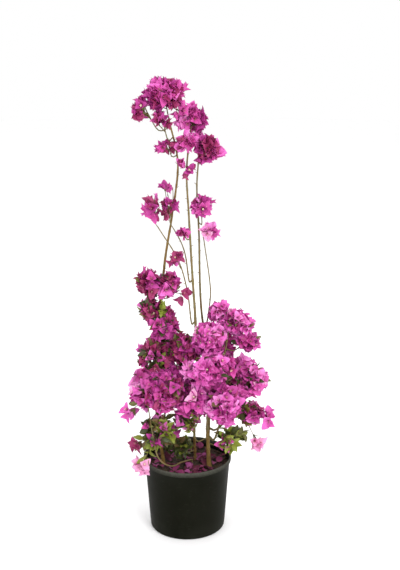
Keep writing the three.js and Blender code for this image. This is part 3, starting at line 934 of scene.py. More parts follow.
class Skeleton:
    """The stems, the boughs and the whips, laid out as the part's source lays them out."""

    GAP = 0.3
    SOIL_TOP = 204.0
    UPRIGHT_START = 10.0
    INSIDE_TIP = 4.0  # how far inside a tip the bark of the bough that carries it on starts

    # each whip or bough of the bush: its name, its parent, the height at which it leaves, and its places
    WHIPS = (
        ("whip_right", "bough_right", 632, ((69, 32, 715), (68, 30, 775), (50, 29, 903))),
        ("whip_cross_low", "bough_middle", 672, ((2, -43, 765), (-24, -44, 858), (-80, -50, 954))),
        ("whip_cross_high", "bough_middle", 795, ((-2, -31, 862), (-15, -29, 905), (-36, -31, 945))),
    )
    BUSH_BOUGHS = (
        ("bough_front", "trunk", 345, (64, -84, 505)),
        ("bough_right_high", "trunk", 405, (122, -14, 622)),
        ("bough_low_right", "trunk", 305, (104, -74, 386)),
        ("bough_far_right", "trunk", 330, (148, -40, 392)),
        ("bough_right_back", "trunk", 365, (116, 26, 440)),
        ("bough_left_low", "stem_left", 330, (-64, -78, 440)),
        ("bough_left_high", "stem_left", 452, (-76, 30, 520)),
        ("bough_back_right", "stem_back", 345, (76, 86, 392)),
        ("bough_back_left", "stem_back", 318, (-50, 72, 388)),
    )

    def __init__(self) -> None:
        """Lay out every limb."""
        self.limbs: dict[str, Limb] = {}
        self._stem("trunk", (66, -32), ((63, -33, 300), (64, -35, 380), (61, -38, 430)), 5.9, 4.6, 3.6, 20)
        left = ((-92, -33, 400), (-86, -40, 620), (-63, -25, 847), (-41, -15, 983), (-24, -8, 1130))
        self._stem("stem_left", (-74, -14), (*left, (-48, -25, 1258)), 5.4, 2.2, 2.8, 40)
        self._stem("stem_back", (24, 14), ((21, 20, 330), (26, 52, 440), (60, 70, 505)), 4.2, 2.8, 2, 40)
        middle = ((31, -58, 605), (24, -50, 709), (16, -40, 827), (7, -25, 985), (1, -14, 1110))
        self._bough("bough_middle", "trunk", "tip", (*middle, (12, -6, 1216)), 4.4, 2.2, lead=26)
        right = ((66, 26, 500), (42, 50, 695), (36, 35, 914), (30, 22, 1050), (34, 4, 1130))
        self._bough("bough_right", "trunk", 392, right, 4.0, 2.1, lead=16)
        for name, parent, height, places in self.WHIPS:
            self._bough(name, parent, height, places, 2.2, 1.5, lead=8)
        loop = ((-16, -48, 226), (-48, -92, 234), (-84, -112, 270), (-100, -110, 342), (-114, -92, 426))
        self._stem("runner", (14, -6), loop, 2.3, 1.6, 0, 28)
        for name, parent, height, tip in self.BUSH_BOUGHS:
            self._bough(name, parent, height, (tip,), 3.2, 2.3, lead=22)

    def _stem(
        self, name: str, foot: Point, places: Sequence[Point],
        root: float, tip: float, flare: float, step: float,
    ) -> None:
        """Add a stem that stands on the soil at its foot and starts upright."""
        ground = self.SOIL_TOP + self.GAP
        route = [(*foot, ground), (*foot, ground + self.UPRIGHT_START), *places]
        self.limbs[name] = Limb(name, route, root, tip, flare, step)

    def _bough(
        self, name: str, parent: str, height: Height, places: Sequence[Point],
        root: float, tip: float, lead: float,
    ) -> None:
        """Add a bough that leaves its parent's bark, or carries on from its tip."""
        start, inner = self.branch_start(self.limbs[parent], height, np.array(places[0], dtype=float), lead)
        self.limbs[name] = Limb(name, [*start, *places], root, tip, inner_start=inner)

    def branch_start(
        self, parent: Limb, height: Height, towards: Array, lead: float
    ) -> tuple[list[Array], Array]:
        """Return the first places of a branch.

        Args:
            parent: The limb that it leaves.
            height: The height at which it leaves, or "tip".
            towards: Where it goes.
            lead: How far it runs before it turns.

        Returns:
            Its two first places, and a place inside its parent from which its bark can start.
        """
        if height == "tip":
            along = parent.route.way_at_end()
            start = parent.route.at(1.0) + along * self.GAP
            return [start, start + along * lead], start - along * self.INSIDE_TIP
        share = parent.share_at_height(height)
        middle, along = parent.middle_at(share)
        outward = square_to(towards - middle, along)
        start = middle + outward * (parent.radius_at(share) + self.GAP)
        return [start, start + outward * lead], middle


# ------------------------ masses


@dataclass(frozen=True)
class Sprig:
    """A twig with a listed end: one that stands out alone from its mass, or one that fills a gap in it.

    It has its end, the tone and number of its blooms, and a green of its own if it bears leaves.
    """

    end: Point
    tone: Tone
    blooms: int = 5
    green: Green | None = None
    fills_gap: bool = False


@dataclass(frozen=True)
class MassRow:
    """A mass of blossom or leaves: where its stem leaves, the space that it fills, and what it bears.

    The centre and the half-widths are in millimetres. The shares are those of leafy sprays, and of true
    flowers that show an open star. The fullness is how many blooms a spray has, as a share of the usual.
    """

    name: str
    limb: str
    height: Height
    centre: Point
    radii: Point
    twigs: int
    leaf_share: float
    exposure: Exposure
    sprigs: tuple[Sprig, ...] = ()
    stars: float = 0.05
    fullness: float = 1.0

    @property
    def blooms_among_leaves(self) -> float:
        """Return how full of blooms a leafy spray is: the leafier the mass, the fewer."""
        return 0.45 * (1 - 1.6 * self.leaf_share) if self.leaf_share < 0.5 else 0.0

    @property
    def blooms_on_a_spray(self) -> float:
        """Return how full of blooms the other sprays are."""
        return self.fullness * (1 - 1.1 * self.leaf_share)


SUNLIT, OPEN, HIGH, DAPPLED, SHADED, FADED, LOW = Exposure

MASS_ROWS = (
    MassRow(
        "top_left", "stem_left", "tip", (-58, -36, 1322), (76, 62, 60), 12, 0, HIGH,
        (Sprig((-22, -42, 1282), Tone.WINE, 7, fills_gap=True),),
    ),
    MassRow("top_left_tip", "stem_left", 1232, (-122, -42, 1286), (46, 42, 46), 7, 0, HIGH, fullness=0.85),
    MassRow("top_left_low", "stem_left", 1206, (-68, -54, 1254), (38, 34, 36), 5, 0, HIGH),
    MassRow("top_right", "bough_middle", "tip", (22, 0, 1256), (58, 50, 54), 8, 0, SUNLIT),
    MassRow("top_low_left", "bough_middle", 1172, (4, -38, 1192), (42, 40, 44), 6, 0, OPEN),
    MassRow("top_low", "bough_right", "tip", (56, -18, 1172), (54, 50, 58), 10, 0, OPEN),
    MassRow("top_spur", "stem_left", 1152, (-52, -24, 1181), (42, 30, 30), 5, 0, HIGH),
    MassRow("top_tassel", "bough_middle", 1132, (2, -38, 1118), (26, 26, 38), 4, 0, SHADED),
    MassRow(
        "upper_left", "whip_cross_low", "tip", (-90, -54, 1010), (42, 40, 66), 10, 0, SHADED, fullness=0.25
    ),
    MassRow(
        "upper_left_inner", "whip_cross_high", "tip", (-48, -34, 1012), (32, 34, 78), 7, 0, SHADED,
        (
            Sprig((-60, -42, 1062), Tone.DEEP, 3, fills_gap=True),
            Sprig((-38, -36, 1068), Tone.WINE, 3, fills_gap=True),
        ),
        fullness=0.4,
    ),
    MassRow(
        "upper_right", "bough_right", 952, (44, 4, 1002), (40, 36, 58), 9, 0, OPEN, stars=0.15, fullness=0.4
    ),
    MassRow("middle_bloom", "bough_middle", 915, (-8, -46, 934), (23, 22, 24), 3, 0, SHADED),
    MassRow("whip_blooms", "whip_right", "tip", (64, 24, 926), (38, 26, 24), 4, 0, FADED),
    MassRow("cross_bloom", "whip_cross_low", 838, (-28, -62, 866), (22, 20, 26), 3, 0, SHADED),
    MassRow(
        "left_shoulder", "stem_left", 752, (-114, -34, 784), (48, 44, 62), 9, 0.1, HIGH,
        stars=0.1, fullness=0.7,
    ),
    MassRow(
        "left_inner", "stem_left", 742, (-56, -36, 782), (48, 42, 52), 7, 0.1, SHADED,
        (Sprig((-15, -50, 758), Tone.CLARET, 3),),
    ),
    MassRow(
        "left_column_top", "stem_left", 690, (-102, -46, 710), (48, 42, 46), 7, 0.3, SHADED,
        (Sprig((-68, -72, 716), Tone.CLARET, 0, Green.LIME, fills_gap=True),),
    ),
    MassRow("left_column_upper", "stem_left", 628, (-62, -48, 664), (60, 48, 56), 10, 0.3, SHADED),
    MassRow("left_column_lower", "stem_left", 512, (-92, -58, 572), (64, 52, 66), 10, 0.35, SHADED),
    MassRow("right_crown", "bough_right_high", "tip", (146, -12, 664), (58, 56, 46), 10, 0.05, FADED),
    MassRow("right_spike", "bough_right_high", 600, (92, 2, 690), (38, 38, 46), 6, 0, SUNLIT),
    MassRow("right_front", "bough_middle", 604, (66, -88, 640), (64, 58, 54), 11, 0.05, SUNLIT, stars=0.5),
    MassRow("right_side", "bough_right_high", 578, (180, -22, 600), (54, 52, 32), 7, 0.05, FADED),
    MassRow(
        "middle_shade", "bough_middle", 548, (-12, -60, 592), (60, 56, 64), 9, 0.25, SHADED,
        (Sprig((-30, -72, 546), Tone.DEEP, 7, fills_gap=True),), stars=0.1, fullness=1.15,
    ),
    MassRow(
        "middle_front", "bough_front", "tip", (66, -130, 556), (86, 64, 54), 12, 0.05, SUNLIT, stars=0.3
    ),
    MassRow("right_flank", "bough_right_high", 470, (192, -48, 494), (56, 60, 60), 10, 0.1, SUNLIT),
    MassRow(
        "lower_left", "bough_left_low", "tip", (-58, -112, 482), (104, 68, 62), 14, 0.12, DAPPLED,
        (Sprig((-6, -100, 490), Tone.DEEP, 8, fills_gap=True),),
    ),
    MassRow(
        "left_flank", "runner", "tip", (-134, -52, 444), (46, 54, 58), 8, 0.15, OPEN,
        (Sprig((-166, -78, 406), Tone.BRIGHT),),
    ),
    MassRow("lower_right", "bough_low_right", "tip", (106, -116, 442), (84, 68, 76), 14, 0.12, SUNLIT),
    MassRow(
        "low_right_flank", "bough_far_right", "tip", (190, -52, 388), (56, 54, 40), 7, 0.15, LOW,
        (Sprig((243, -60, 378), Tone.BRIGHT, 7), Sprig((206, -78, 314), Tone.PALE, 7)),
    ),
    MassRow(
        "skirt_left", "stem_left", 318, (-84, -86, 346), (74, 58, 74), 11, 0.75, LOW,
        (Sprig((-140, -76, 306), Tone.CLARET, 3), Sprig((-128, -116, 256), Tone.PALE, 6)),
    ),
    MassRow("middle_low", "trunk", 300, (2, -74, 372), (48, 50, 44), 6, 0.3, LOW),
    MassRow("middle_core", "bough_front", 430, (16, -112, 450), (52, 56, 62), 8, 0.1, SUNLIT),
    MassRow("skirt_right", "trunk", 282, (126, -70, 318), (66, 54, 42), 8, 0.85, LOW),
    MassRow("foot_leaves", "stem_back", 236, (-26, -14, 264), (58, 46, 42), 7, 0.85, LOW),
    MassRow("back_upper", "stem_back", "tip", (96, 84, 560), (80, 62, 76), 9, 0.12, OPEN),
    MassRow("back_left_upper", "bough_left_high", "tip", (-78, 52, 562), (62, 54, 62), 9, 0.2, OPEN),
    MassRow("back_left", "bough_back_left", "tip", (-92, 96, 428), (88, 72, 78), 10, 0.25, OPEN),
    MassRow("back_right", "bough_back_right", "tip", (104, 114, 424), (88, 72, 80), 10, 0.25, OPEN),
    MassRow("right_back", "bough_right_back", "tip", (168, 52, 484), (62, 58, 60), 9, 0.15, OPEN),
)


@dataclass
class Mass:
    """A mass as it grows: its row, its place in the order, and its stem."""

    row: MassRow
    index: int
    stem: Limb

    STEM_ROOT = 2.8
    STEM_TIP = 2.2
    STEM_REACH = 0.8
    STEM_LEAD = 0.35
    SHORTEST = 14.0
    STEM_STEP = 60.0
    OVER_LIMB = 0.4  # how much thicker a stem's root may be than its limb's tip
    LUMP_SEED = 900
    LUMP_WAVES = 5
    LUMP_FINENESS = 5.5

    def __post_init__(self) -> None:
        """Hold the centre and the half-widths as arrays."""
        self.centre = np.array(self.row.centre, dtype=float)
        self.radii = np.array(self.row.radii, dtype=float)
        self.node = f"mass_{self.row.name}"
        random = SeededNumbers(self.LUMP_SEED + self.index)
        ways = [[random.between(-1, 1) for _ in range(3)] for _ in range(self.LUMP_WAVES)]
        self.lump_ways = np.array(ways)
        self.lump_phases = np.array([random.angle() for _ in range(self.LUMP_WAVES)])

    @classmethod
    def grown_on(cls, skeleton: Skeleton, row: MassRow, index: int) -> "Mass":
        """Return the mass of a row, with its stem laid from its limb to near its centre."""
        parent = skeleton.limbs[row.limb]
        centre = np.array(row.centre, dtype=float)
        (start, _), _ = skeleton.branch_start(parent, row.height, centre, 0.0)
        span = max(float(np.linalg.norm(centre - start)), cls.SHORTEST)
        (start, lead), inner = skeleton.branch_start(parent, row.height, centre, span * cls.STEM_LEAD)
        hub = start + (centre - start) * cls.STEM_REACH
        if np.linalg.norm(hub - start) < cls.SHORTEST:
            hub = lead + UP * cls.SHORTEST
        root = min(cls.STEM_ROOT, float(parent.radius_at(1.0)) + cls.OVER_LIMB)
        places = [start, lead, hub]
        stem = Limb(row.name, places, root, cls.STEM_TIP, step_length=cls.STEM_STEP, inner_start=inner)
        return cls(row, index, stem)

    def share_out(self, places: Array) -> Array:
        """Return how far places lie from the centre, as shares of the half-width in that direction."""
        return np.linalg.norm((np.atleast_2d(places) - self.centre) / self.radii, axis=1)

    def hollow(self, places: Array) -> Array:
        """Return how deep the hollows between the mass's lumps are towards places, from 0 to 1."""
        away = (np.atleast_2d(places) - self.centre) / self.radii
        away = away / np.maximum(np.linalg.norm(away, axis=1, keepdims=True), 1e-6)
        waves = np.sin(away @ self.lump_ways.T * self.LUMP_FINENESS + self.lump_phases).mean(axis=1)
        return np.clip(0.5 + waves, 0.0, 1.0)


@dataclass(frozen=True)
class SprayRule:
    """How wide and how long a spray opens. Lengths are in millimetres."""

    longest: float
    shortest: float
    open_degrees: float


@dataclass
class Grown:
    """What has grown: each kind in its own pieces."""

    twigs: JoinedPiece
    stars: JoinedPiece
    tubes: JoinedPiece
    thorns: JoinedPiece
    bracts: dict[Tone, JoinedPiece]
    leaves: dict[Green, JoinedPiece]


class Crown:
    """The masses: stems, twigs and sprays by the source's rule, and then side twigs, blooms and leaves."""

    SEED = 6019
    SEED_STEP = 77
    DETAIL_SEED = 41000
    BLOOM = SprayRule(60.0, 22.0, 62.0)
    LEAF = SprayRule(60.0, 24.0, 74.0)
    BLADE_SHARE = 0.9
    LIMIT = 1.12
    REACH = (0.86, 0.98)  # how much of the room that its spray leaves a twig may take up
    FINEST = 1.20  # how far the finest growth may reach on the crest of a lump
    MARGIN = 0.025
    MINGLING = 0.25  # how much nearer another mass's centre a fine bloom may stand
    BLEND = 9.0  # how sharply neighbouring masses part: the lower, the more they flow together
    LUMPINESS = 0.40  # how far the hollows between its lumps lie inside a mass's limit
    SPRIG_LIMIT = 1.1  # how far outside every other mass a sprig that stands alone keeps
    NEAR = 2.0  # how far out of a mass a limb can matter to it
    LEAST = 0.25
    FACES_OUT = 0.7
    SHARPEST_TURN = math.pi / 3
    LEAVES_STEM_FROM = 0.5
    LEAVES_WITHIN = 0.8
    TWIG_RADIUS = 1.5
    STEM_SHARE = 0.72  # how thick a mass's stem is, as a share of its radius in the source
    STEM_SPACING = 8.0
    STEM_TAPER = 0.25
    STEM_KNOTS = 0.10
    STEM_SIDES = 8
    BARK_CLEARANCE = 1.2
    BOX_CLEARANCE = 0.5
    THORNS_FROM = 30.0
    THORN_SPACING = 34.0
    THORNS_TO = 20.0  # how far short of a limb's tip the thorns end
    THORNS_ABOVE = 250.0
    THORN_SIZE = (5.0, 8.5)
    THORN_ROOT = 0.5
    THORN_SLANT = 0.5
    CHECKS = 14
    POT_CLEARANCE = 4.0
    POT_HEIGHT = 230.0
    RIM_RADIUS = 135.0
    OPEN_RADIUS = 127.9
    BUSH_BRACT = 33.0
    SHOOT_BRACT = 46.0
    SPRIG_BRACT = 31.0
    SHOOTS_FROM = 1100.0  # the height from which the blooms are those of the climbing shoots
    GROWS_FROM = 760.0  # the height from which bracts are longer than the bush's
    GROWS_OVER = 360.0
    LEAF_LENGTH = 36.0

    def __init__(self, skeleton: Skeleton) -> None:
        """Lay out the masses on the limbs that carry them."""
        self.skeleton = skeleton
        self.masses = [Mass.grown_on(skeleton, row, i) for i, row in enumerate(MASS_ROWS)]
        self.bush_blooms = BloomPattern(BloomPattern.ROUND, BloomPattern.OPEN)
        self.shoot_blooms = BloomPattern(BloomPattern.POINTED, BloomPattern.UPRIGHT)
        self.leaves = LeafPattern()
        low, high = CAD_BOX
        self.lowest = np.array(low) / MM + self.BOX_CLEARANCE
        self.highest = np.array(high) / MM - self.BOX_CLEARANCE
        self.grown = Grown(
            JoinedPiece("twigs", "bark"),
            JoinedPiece("flower_stars", "blossom"),
            JoinedPiece("flower_tubes", "blossom"),
            JoinedPiece("thorns", "bark"),
            {tone: JoinedPiece(f"bracts_{tone.name.lower()}", self._slot_of(tone)) for tone in Tone},
            {green: JoinedPiece(f"leaves_{green.name.lower()}", "leaves") for green in Green},
        )

    @staticmethod
    def _slot_of(tone: Tone) -> str:
        """Return the record's slot for a tone."""
        return "deep_blossom" if tone in (Tone.DEEP, Tone.WINE) else "blossom"

    # ---------------- where things may grow

    def _shares(self, places: Array) -> Array:
        """Return how far places lie out of every mass, one row for each mass."""
        return np.array([mass.share_out(places) for mass in self.masses])

    def _own_and_nearest(self, mass: Mass, shares: Array) -> tuple[Array, Array]:
        """Return a mass's own shares, and the least of all the other masses' shares."""
        others = shares.copy()
        others[mass.index] = np.inf
        return shares[mass.index], others.min(axis=0)

    def in_space(self, mass: Mass, places: Array) -> bool:
        """Return True where all places lie in a mass's space, and nearest to its centre by a margin."""
        own, nearest = self._own_and_nearest(mass, self._shares(places))
        return bool(np.all(own <= 1.0) and np.all(nearest > own + self.MARGIN))

    def in_blend(self, mass: Mass, places: Array, limit: Array) -> bool:
        """Return True where all places lie in the form that a mass and its neighbours blend into."""
        shares = self._shares(places)
        blend = -np.log(np.exp(-self.BLEND * shares).sum(axis=0)) / self.BLEND
        own, nearest = self._own_and_nearest(mass, shares)
        return bool(np.all(blend <= limit) and np.all(nearest > own - self.MINGLING))

    def outside_others(self, mass: Mass, places: Array) -> bool:
        """Return True where all places lie well outside every mass but one."""
        _, nearest = self._own_and_nearest(mass, self._shares(places))
        return bool(np.all(nearest > self.SPRIG_LIMIT))

    def meets_pot(self, places: Array, radius: float) -> bool:
        """Return True where the soil or the pot comes too near any of the places."""
        places = np.atleast_2d(places)
        across = np.hypot(places[:, 0], places[:, 1])
        over_soil = across < self.OPEN_RADIUS - self.POT_CLEARANCE
        top = np.where(over_soil, self.skeleton.SOIL_TOP, self.POT_HEIGHT)
        near = across < self.RIM_RADIUS + self.POT_CLEARANCE
        return bool(np.any(near & (places[:, 2] < top + radius + self.POT_CLEARANCE)))

    def meets_limb(self, places: Array, obstacles: Array, clear: float) -> bool:
        """Return True where a limb comes nearer to any of the places than clear."""
        if not len(obstacles):
            return False
        apart = np.linalg.norm(np.atleast_2d(places)[:, None, :] - obstacles[None, :, :3], axis=2)
        return bool(np.any(apart < obstacles[:, 3] + clear))

    def in_box(self, places: Array) -> bool:
        """Return True where all places lie in the frame's box."""
        return bool(np.all(places > self.lowest) and np.all(places < self.highest))

    def obstacles_near(self, mass: Mass) -> Array:
        """Return the samples of every limb, and of every other mass's stem, that come near a mass."""
        stems = [other.stem for other in self.masses if other is not mass]
        samples = np.vstack([limb.samples() for limb in (*self.skeleton.limbs.values(), *stems)])
        return samples[mass.share_out(samples[:, :3]) < self.NEAR]

    # ---------------- the source's rule

    def blade_length(self, mass: Mass, rule: SprayRule) -> float:
        """Return the length of a mass's blades in the source."""
        return float(np.clip(mass.radii.min() * self.BLADE_SHARE, rule.shortest, rule.longest))

    def twig_ends(self, mass: Mass, random: SeededNumbers) -> list[Array]:
        """Return the ends of a mass's twigs, spread over its space by the golden angle, and its sprigs."""
        spread = math.radians(self.BLOOM.open_degrees)
        sideways = self.blade_length(mass, self.BLOOM) * math.sin(spread)
        outwards = self.blade_length(mass, self.BLOOM) * math.cos(spread)
        phase = random.angle()
        ends = []
        for i in range(mass.row.twigs):
            height = 1 - 2 * (i + 0.5) / mass.row.twigs
            turn = phase + i * GOLDEN_ANGLE
            flat = math.sqrt(1 - height * height)
            away = np.array((flat * math.cos(turn), flat * math.sin(turn), height))
            surface = 1 / float(np.linalg.norm(away / mass.radii))
            room = math.sqrt(max(0.0, (self.LIMIT * surface) ** 2 - sideways**2)) - outwards
            reach = max(self.LEAST * surface, room) * random.between(*self.REACH)
            ends.append(mass.centre + away * reach)
        return ends + [np.array(sprig.end, dtype=float) for sprig in mass.row.sprigs]

    def twig_root(self, mass: Mass, number: int) -> Array:
        """Return where a twig leaves its mass's stem, from the tip down to the mass's own edge."""
        room = float(mass.radii.min()) * self.LEAVES_WITHIN
        share = min(self.LEAVES_STEM_FROM, room / mass.stem.route.length)
        return mass.stem.route.at(1 - share * ((number * GOLDEN_SHARE) % 1))

    def facing(self, line: Array, outwards: Array) -> Array:
        """Return the way a spray faces: turned from its twig's line most of the way towards outwards."""
        turn = min(angle_between(line, outwards) * self.FACES_OUT, self.SHARPEST_TURN)
        return turned(line, square_to(np.cross(line, outwards), line), turn)

    def grow(self) -> Grown:
        """Grow every mass, and return the pieces, ready to be built."""
        for mass in self.masses:
            self._grow_mass(mass)
        self._thorns()
        return self.grown

    def _grow_mass(self, mass: Mass) -> None:
        """Grow one mass: its stem, its twigs, and what each bears."""
        random = SeededNumbers(self.SEED + self.SEED_STEP * mass.index)
        detail = SeededNumbers(self.DETAIL_SEED + self.SEED_STEP * mass.index)
        obstacles = self.obstacles_near(mass)
        self._mass_stem(mass)
        for i, end in enumerate(self.twig_ends(mass, random)):
            is_sprig = i >= mass.row.twigs
            is_leafy = random() < mass.row.leaf_share and not is_sprig
            roll = random.angle()
            root = self.twig_root(mass, i)
            along = root + (end - root) * np.linspace(0, 1, self.CHECKS + 1)[2:, None]
            clear = self.TWIG_RADIUS + self.BARK_CLEARANCE
            if self.meets_pot(along, self.TWIG_RADIUS) or self.meets_limb(along, obstacles, clear):
                continue
            if not is_sprig and not self.in_space(mass, along):
                continue
            axis = self.facing(unit(end - root), unit(end - mass.centre))
            sprig = mass.row.sprigs[i - mass.row.twigs] if is_sprig else None
            Twig(self, mass, root, end, axis, roll, is_leafy, sprig, obstacles, detail).grow()

    def _mass_stem(self, mass: Mass) -> None:
        """Add a mass's stem, from inside its limb's bark."""
        shares = np.linspace(0, 1, max(5, math.ceil(mass.stem.route.length / self.STEM_SPACING)))
        points = np.vstack((mass.stem.inner_start, mass.stem.route.at(shares)))
        taper = np.concatenate(((1.0,), 1.0 - self.STEM_TAPER * shares))
        radii = taper * mass.stem.root_radius * self.STEM_SHARE
        knots = 1 + self.STEM_KNOTS * np.sin(np.arange(len(points)) * 2.4)
        self.add_tube(mass, points, radii * knots, self.STEM_SIDES)

    def add_tube(self, mass: Mass, points: Array, radii: Array, sides: int) -> None:
        """Add a length of a mass's wood."""
        self.grown.twigs.add(tube_shape(points, radii, sides), np.zeros(3), np.eye(3), 1.0, mass.node)

    def _thorns(self) -> None:
        """Set hooked thorns along the limbs, one above each old leaf's place."""
        random = SeededNumbers(self.DETAIL_SEED)
        middles = np.array(((0, 0, 0), (0.05, 0, 0.45), (0.22, 0, 1.0)))
        hook = tube_shape(middles, radii=(0.16, 0.1, 0.02), sides=5)
        for limb in self.skeleton.limbs.values():
            length = limb.route.length
            for share in np.arange(self.THORNS_FROM, length - self.THORNS_TO, self.THORN_SPACING) / length:
                _, along = limb.middle_at(float(share))
                outward = turned(square_to(SIDEWAYS, along), along, random.angle())
                axis = unit(outward + along * self.THORN_SLANT)
                place = limb.route.at(float(share)) + outward * (limb.radius_at(share) - self.THORN_ROOT)
                size = random.between(*self.THORN_SIZE)
                if place[2] < self.THORNS_ABOVE or not self.in_box(place + axis * size):
                    continue
                self.grown.thorns.add(hook, place, facing_frame(axis, random() * ANY_ROLL), size)


@dataclass
class Twig:
    """One twig of the source's rule, with the finer growth that it bears."""

    crown: Crown
    mass: Mass
    root: Array
    end: Array
    axis: Array
    roll: float
    is_leafy: bool
    sprig: Sprig | None
    obstacles: Array
    random: SeededNumbers

    RADII = (1.5, 0.9)
    SIDES = 6
    BOW = 0.07
    BOW_PLACES = (3, 7)  # the fewest and the most places along a twig
    BOW_SPACING = 12.0
    SIDE_RADIUS = 0.9
    SPRIG_RADIUS = 1.3
    SIDE_TAPER = 0.6
    SIDE_SIDES = 4
    SIDE_BOW = 0.1
    SIDE_TWIG_FROM = 0.55
    SIDE_TWIG_RANGE = 0.35
    LIMB_CLEARANCE = 1.0
    SHORTFALL = 0.16  # how far a spray may stay inside its mass's limit
    SMALL = 32.0  # the least half-width below which a mass is small
    LONGEST_SHARE = 1.15

    FEWEST_BLOOMS = 6
    FEWEST_SHOOT_BLOOMS = 4
    BUSH_BLOOMS = 10
    SHOOT_BLOOMS = 5
    SWAY = 0.3
    LEAN_SHARES = (0.9, 1.25)
    OUT_SHARES = (0.5, 0.78)
    PULLS = (0.0, 0.2, 0.45, 0.7, 0.9)  # how far back a bloom is set until it finds room
    TO_CENTRE = 0.6
    SHRINK = 0.3
    FORWARDS = 0.35
    SPRIG_SHARES = (1.0, 0.9, 0.8, 0.7, 0.62)  # the sizes that a sprig's bloom is tried in
    SPRIG_LEAN = (0.3, 1.5)
    SPRIG_LEAVES_AT = (0.8, 0.95)
    SPRIG_SPREAD = 9.0
    SPRIG_BACK = 0.3

    INNER_SHARES = (0.35, 0.8)  # where on the twig the inner blooms stand
    INNER_LEAN = (0.8, 1.3)
    INNER_OUT = (12.0, 22.0)

    TRIES = 5
    NOD = (0.05, 0.6)
    BUD_CHANCE = 0.06
    BUD_SIZE = 0.7
    BLOOM_SIZES = (0.82, 1.16)
    OWN_TONE = 0.65  # the share of a spray's blooms that have the spray's own tone
    SHADE_STEPS = ((0.42, 2), (0.64, 1))  # how far out, and how many tones deeper: painted shade towards the mass's middle
    MIDDLE = 0.5  # where a bloom's middle is, as a share of its length
    FLOWERS = 3
    FLOWER_CHANCE = 0.75
    FLOWER_LEAN = 0.20
    TUBE_SIZE = 0.9
    STAR_SIZE = 0.8

    FEWEST_LEAVES = 7
    LEAVES = 8
    LEAF_SIZES = (1.0, 0.85, 0.7)
    LEAF_RANGE = (0.7, 1.1)
    LEAF_LEAN = (0.25, 1.05)
    LEAF_STEP = 0.045
    LEAF_SPACING = 13.0
    LOW_LEAF_SIZES = (0.62, 1.0)
    OWN_GREEN = 0.6

    def grow(self) -> None:
        """Add the twig, the side twigs that spread from it, and their blooms and leaves."""
        self.route = self._bowed(self.root, self.end, self.BOW)
        self.limit = self.crown.FINEST * (1 - self.SHORTFALL * self.random() ** 2) * self._room_in_small()
        self.is_apart = bool(self.sprig) and not self.sprig.fills_gap
        exposure = self.mass.row.exposure
        self.tone = self.sprig.tone if self.sprig else exposure.tone(self.random)
        green = exposure.green(self.random)
        self.green = self.sprig.green if self.sprig and self.sprig.green else green
        self.is_shoot = self.mass.centre[2] > self.crown.SHOOTS_FROM
        self.pattern = self.crown.shoot_blooms if self.is_shoot else self.crown.bush_blooms
        self.bract_length = self._bract_length()
        self.crown.add_tube(self.mass, self.route, np.linspace(*self.RADII, len(self.route)), self.SIDES)
        row = self.mass.row
        if self.sprig:
            self._sprig_blooms()
            self._leafy_spray(1.0 if self.sprig.green else 0.0)
        elif self.is_leafy:
            self._leafy_spray(1.0)
            self._bloom_spray(row.blooms_among_leaves)
        else:
            self._leafy_spray(row.leaf_share)
            self._bloom_spray(row.blooms_on_a_spray)
        self._leaves_along()
        self._inner_blooms()

    def _bowed(self, start: Array, end: Array, bow: float) -> Array:
        """Return places along a twig that sags a little between its ends."""
        span = end - start
        length = float(np.linalg.norm(span))
        side = turned(square_to(UP, span / length), span / length, self.random.angle())
        fewest, most = self.BOW_PLACES
        shares = np.linspace(0, 1, max(fewest, min(most, math.ceil(length / self.BOW_SPACING))))
        lift = np.sin(shares * math.pi) * bow * length * self.random.between(0.4, 1.0)
        return start + np.outer(shares, span) + np.outer(lift, side)

    def _may_grow(self, places: Array) -> bool:
        """Return True where all places are inside the mass's reach and clear of the pot and the limbs."""
        crown = self.crown
        if crown.meets_pot(places, 0.0):
            return False
        if self.is_apart:
            inside = crown.outside_others(self.mass, places)
        else:
            hollow = self.mass.hollow(places) * (0.0 if self.sprig else crown.LUMPINESS)
            inside = crown.in_blend(self.mass, places, self.limit * (1 - hollow))
        return inside and not crown.meets_limb(places, self.obstacles, self.LIMB_CLEARANCE)

    def _point_on(self, share: float) -> Array:
        """Return the place at a share of the twig."""
        place = share * (len(self.route) - 1)
        step = min(int(place), len(self.route) - 2)
        return self.route[step] + (self.route[step + 1] - self.route[step]) * (place - step)

    def _bloom_spray(self, share_filled: float) -> None:
        """Fill the spray, or a share of it, with single blooms on side twigs."""
        rule = self.crown.BLOOM
        length = self.crown.blade_length(self.mass, rule)
        fullest = self.SHOOT_BLOOMS if self.is_shoot else self.BUSH_BLOOMS
        more = round(fullest * (length - rule.shortest) / (rule.longest - rule.shortest))
        fewest = self.FEWEST_SHOOT_BLOOMS if self.is_shoot else self.FEWEST_BLOOMS
        count = round((fewest + more) * share_filled)
        spread = math.radians(rule.open_degrees)
        for k in range(count):
            share = math.sqrt((k + 0.3) / count)
            turn = self.roll + k * GOLDEN_ANGLE + self.random.between(-self.SWAY, self.SWAY)
            way = leaning(self.axis, spread * share * self.random.between(*self.LEAN_SHARES), turn)
            out = length * share * self.random.between(*self.OUT_SHARES)
            for pull in self.PULLS:
                place = self.end + way * out * (1 - pull)
                place = place + (self.mass.centre - place) * pull * self.TO_CENTRE
                facing = unit(way + self.axis * self.FORWARDS)
                leaves_at = self.SIDE_TWIG_FROM + self.SIDE_TWIG_RANGE * self.random()
                if self._bloom(place, facing, leaves_at, 1 - self.SHRINK * pull):
                    break

    def _sprig_blooms(self) -> None:
        """Set a few blooms close together at the sprig's end."""
        for k in range(self.sprig.blooms):
            for share in self.SPRIG_SHARES:
                way = leaning(self.axis, self.random.between(*self.SPRIG_LEAN), self.roll + k * GOLDEN_ANGLE)
                back = self.axis * self.bract_length * (1 - share) * self.SPRIG_BACK
                place = self.end + way * self.SPRIG_SPREAD * (2 * share - 1) - back
                if self._bloom(place, way, self.random.between(*self.SPRIG_LEAVES_AT), share):
                    break

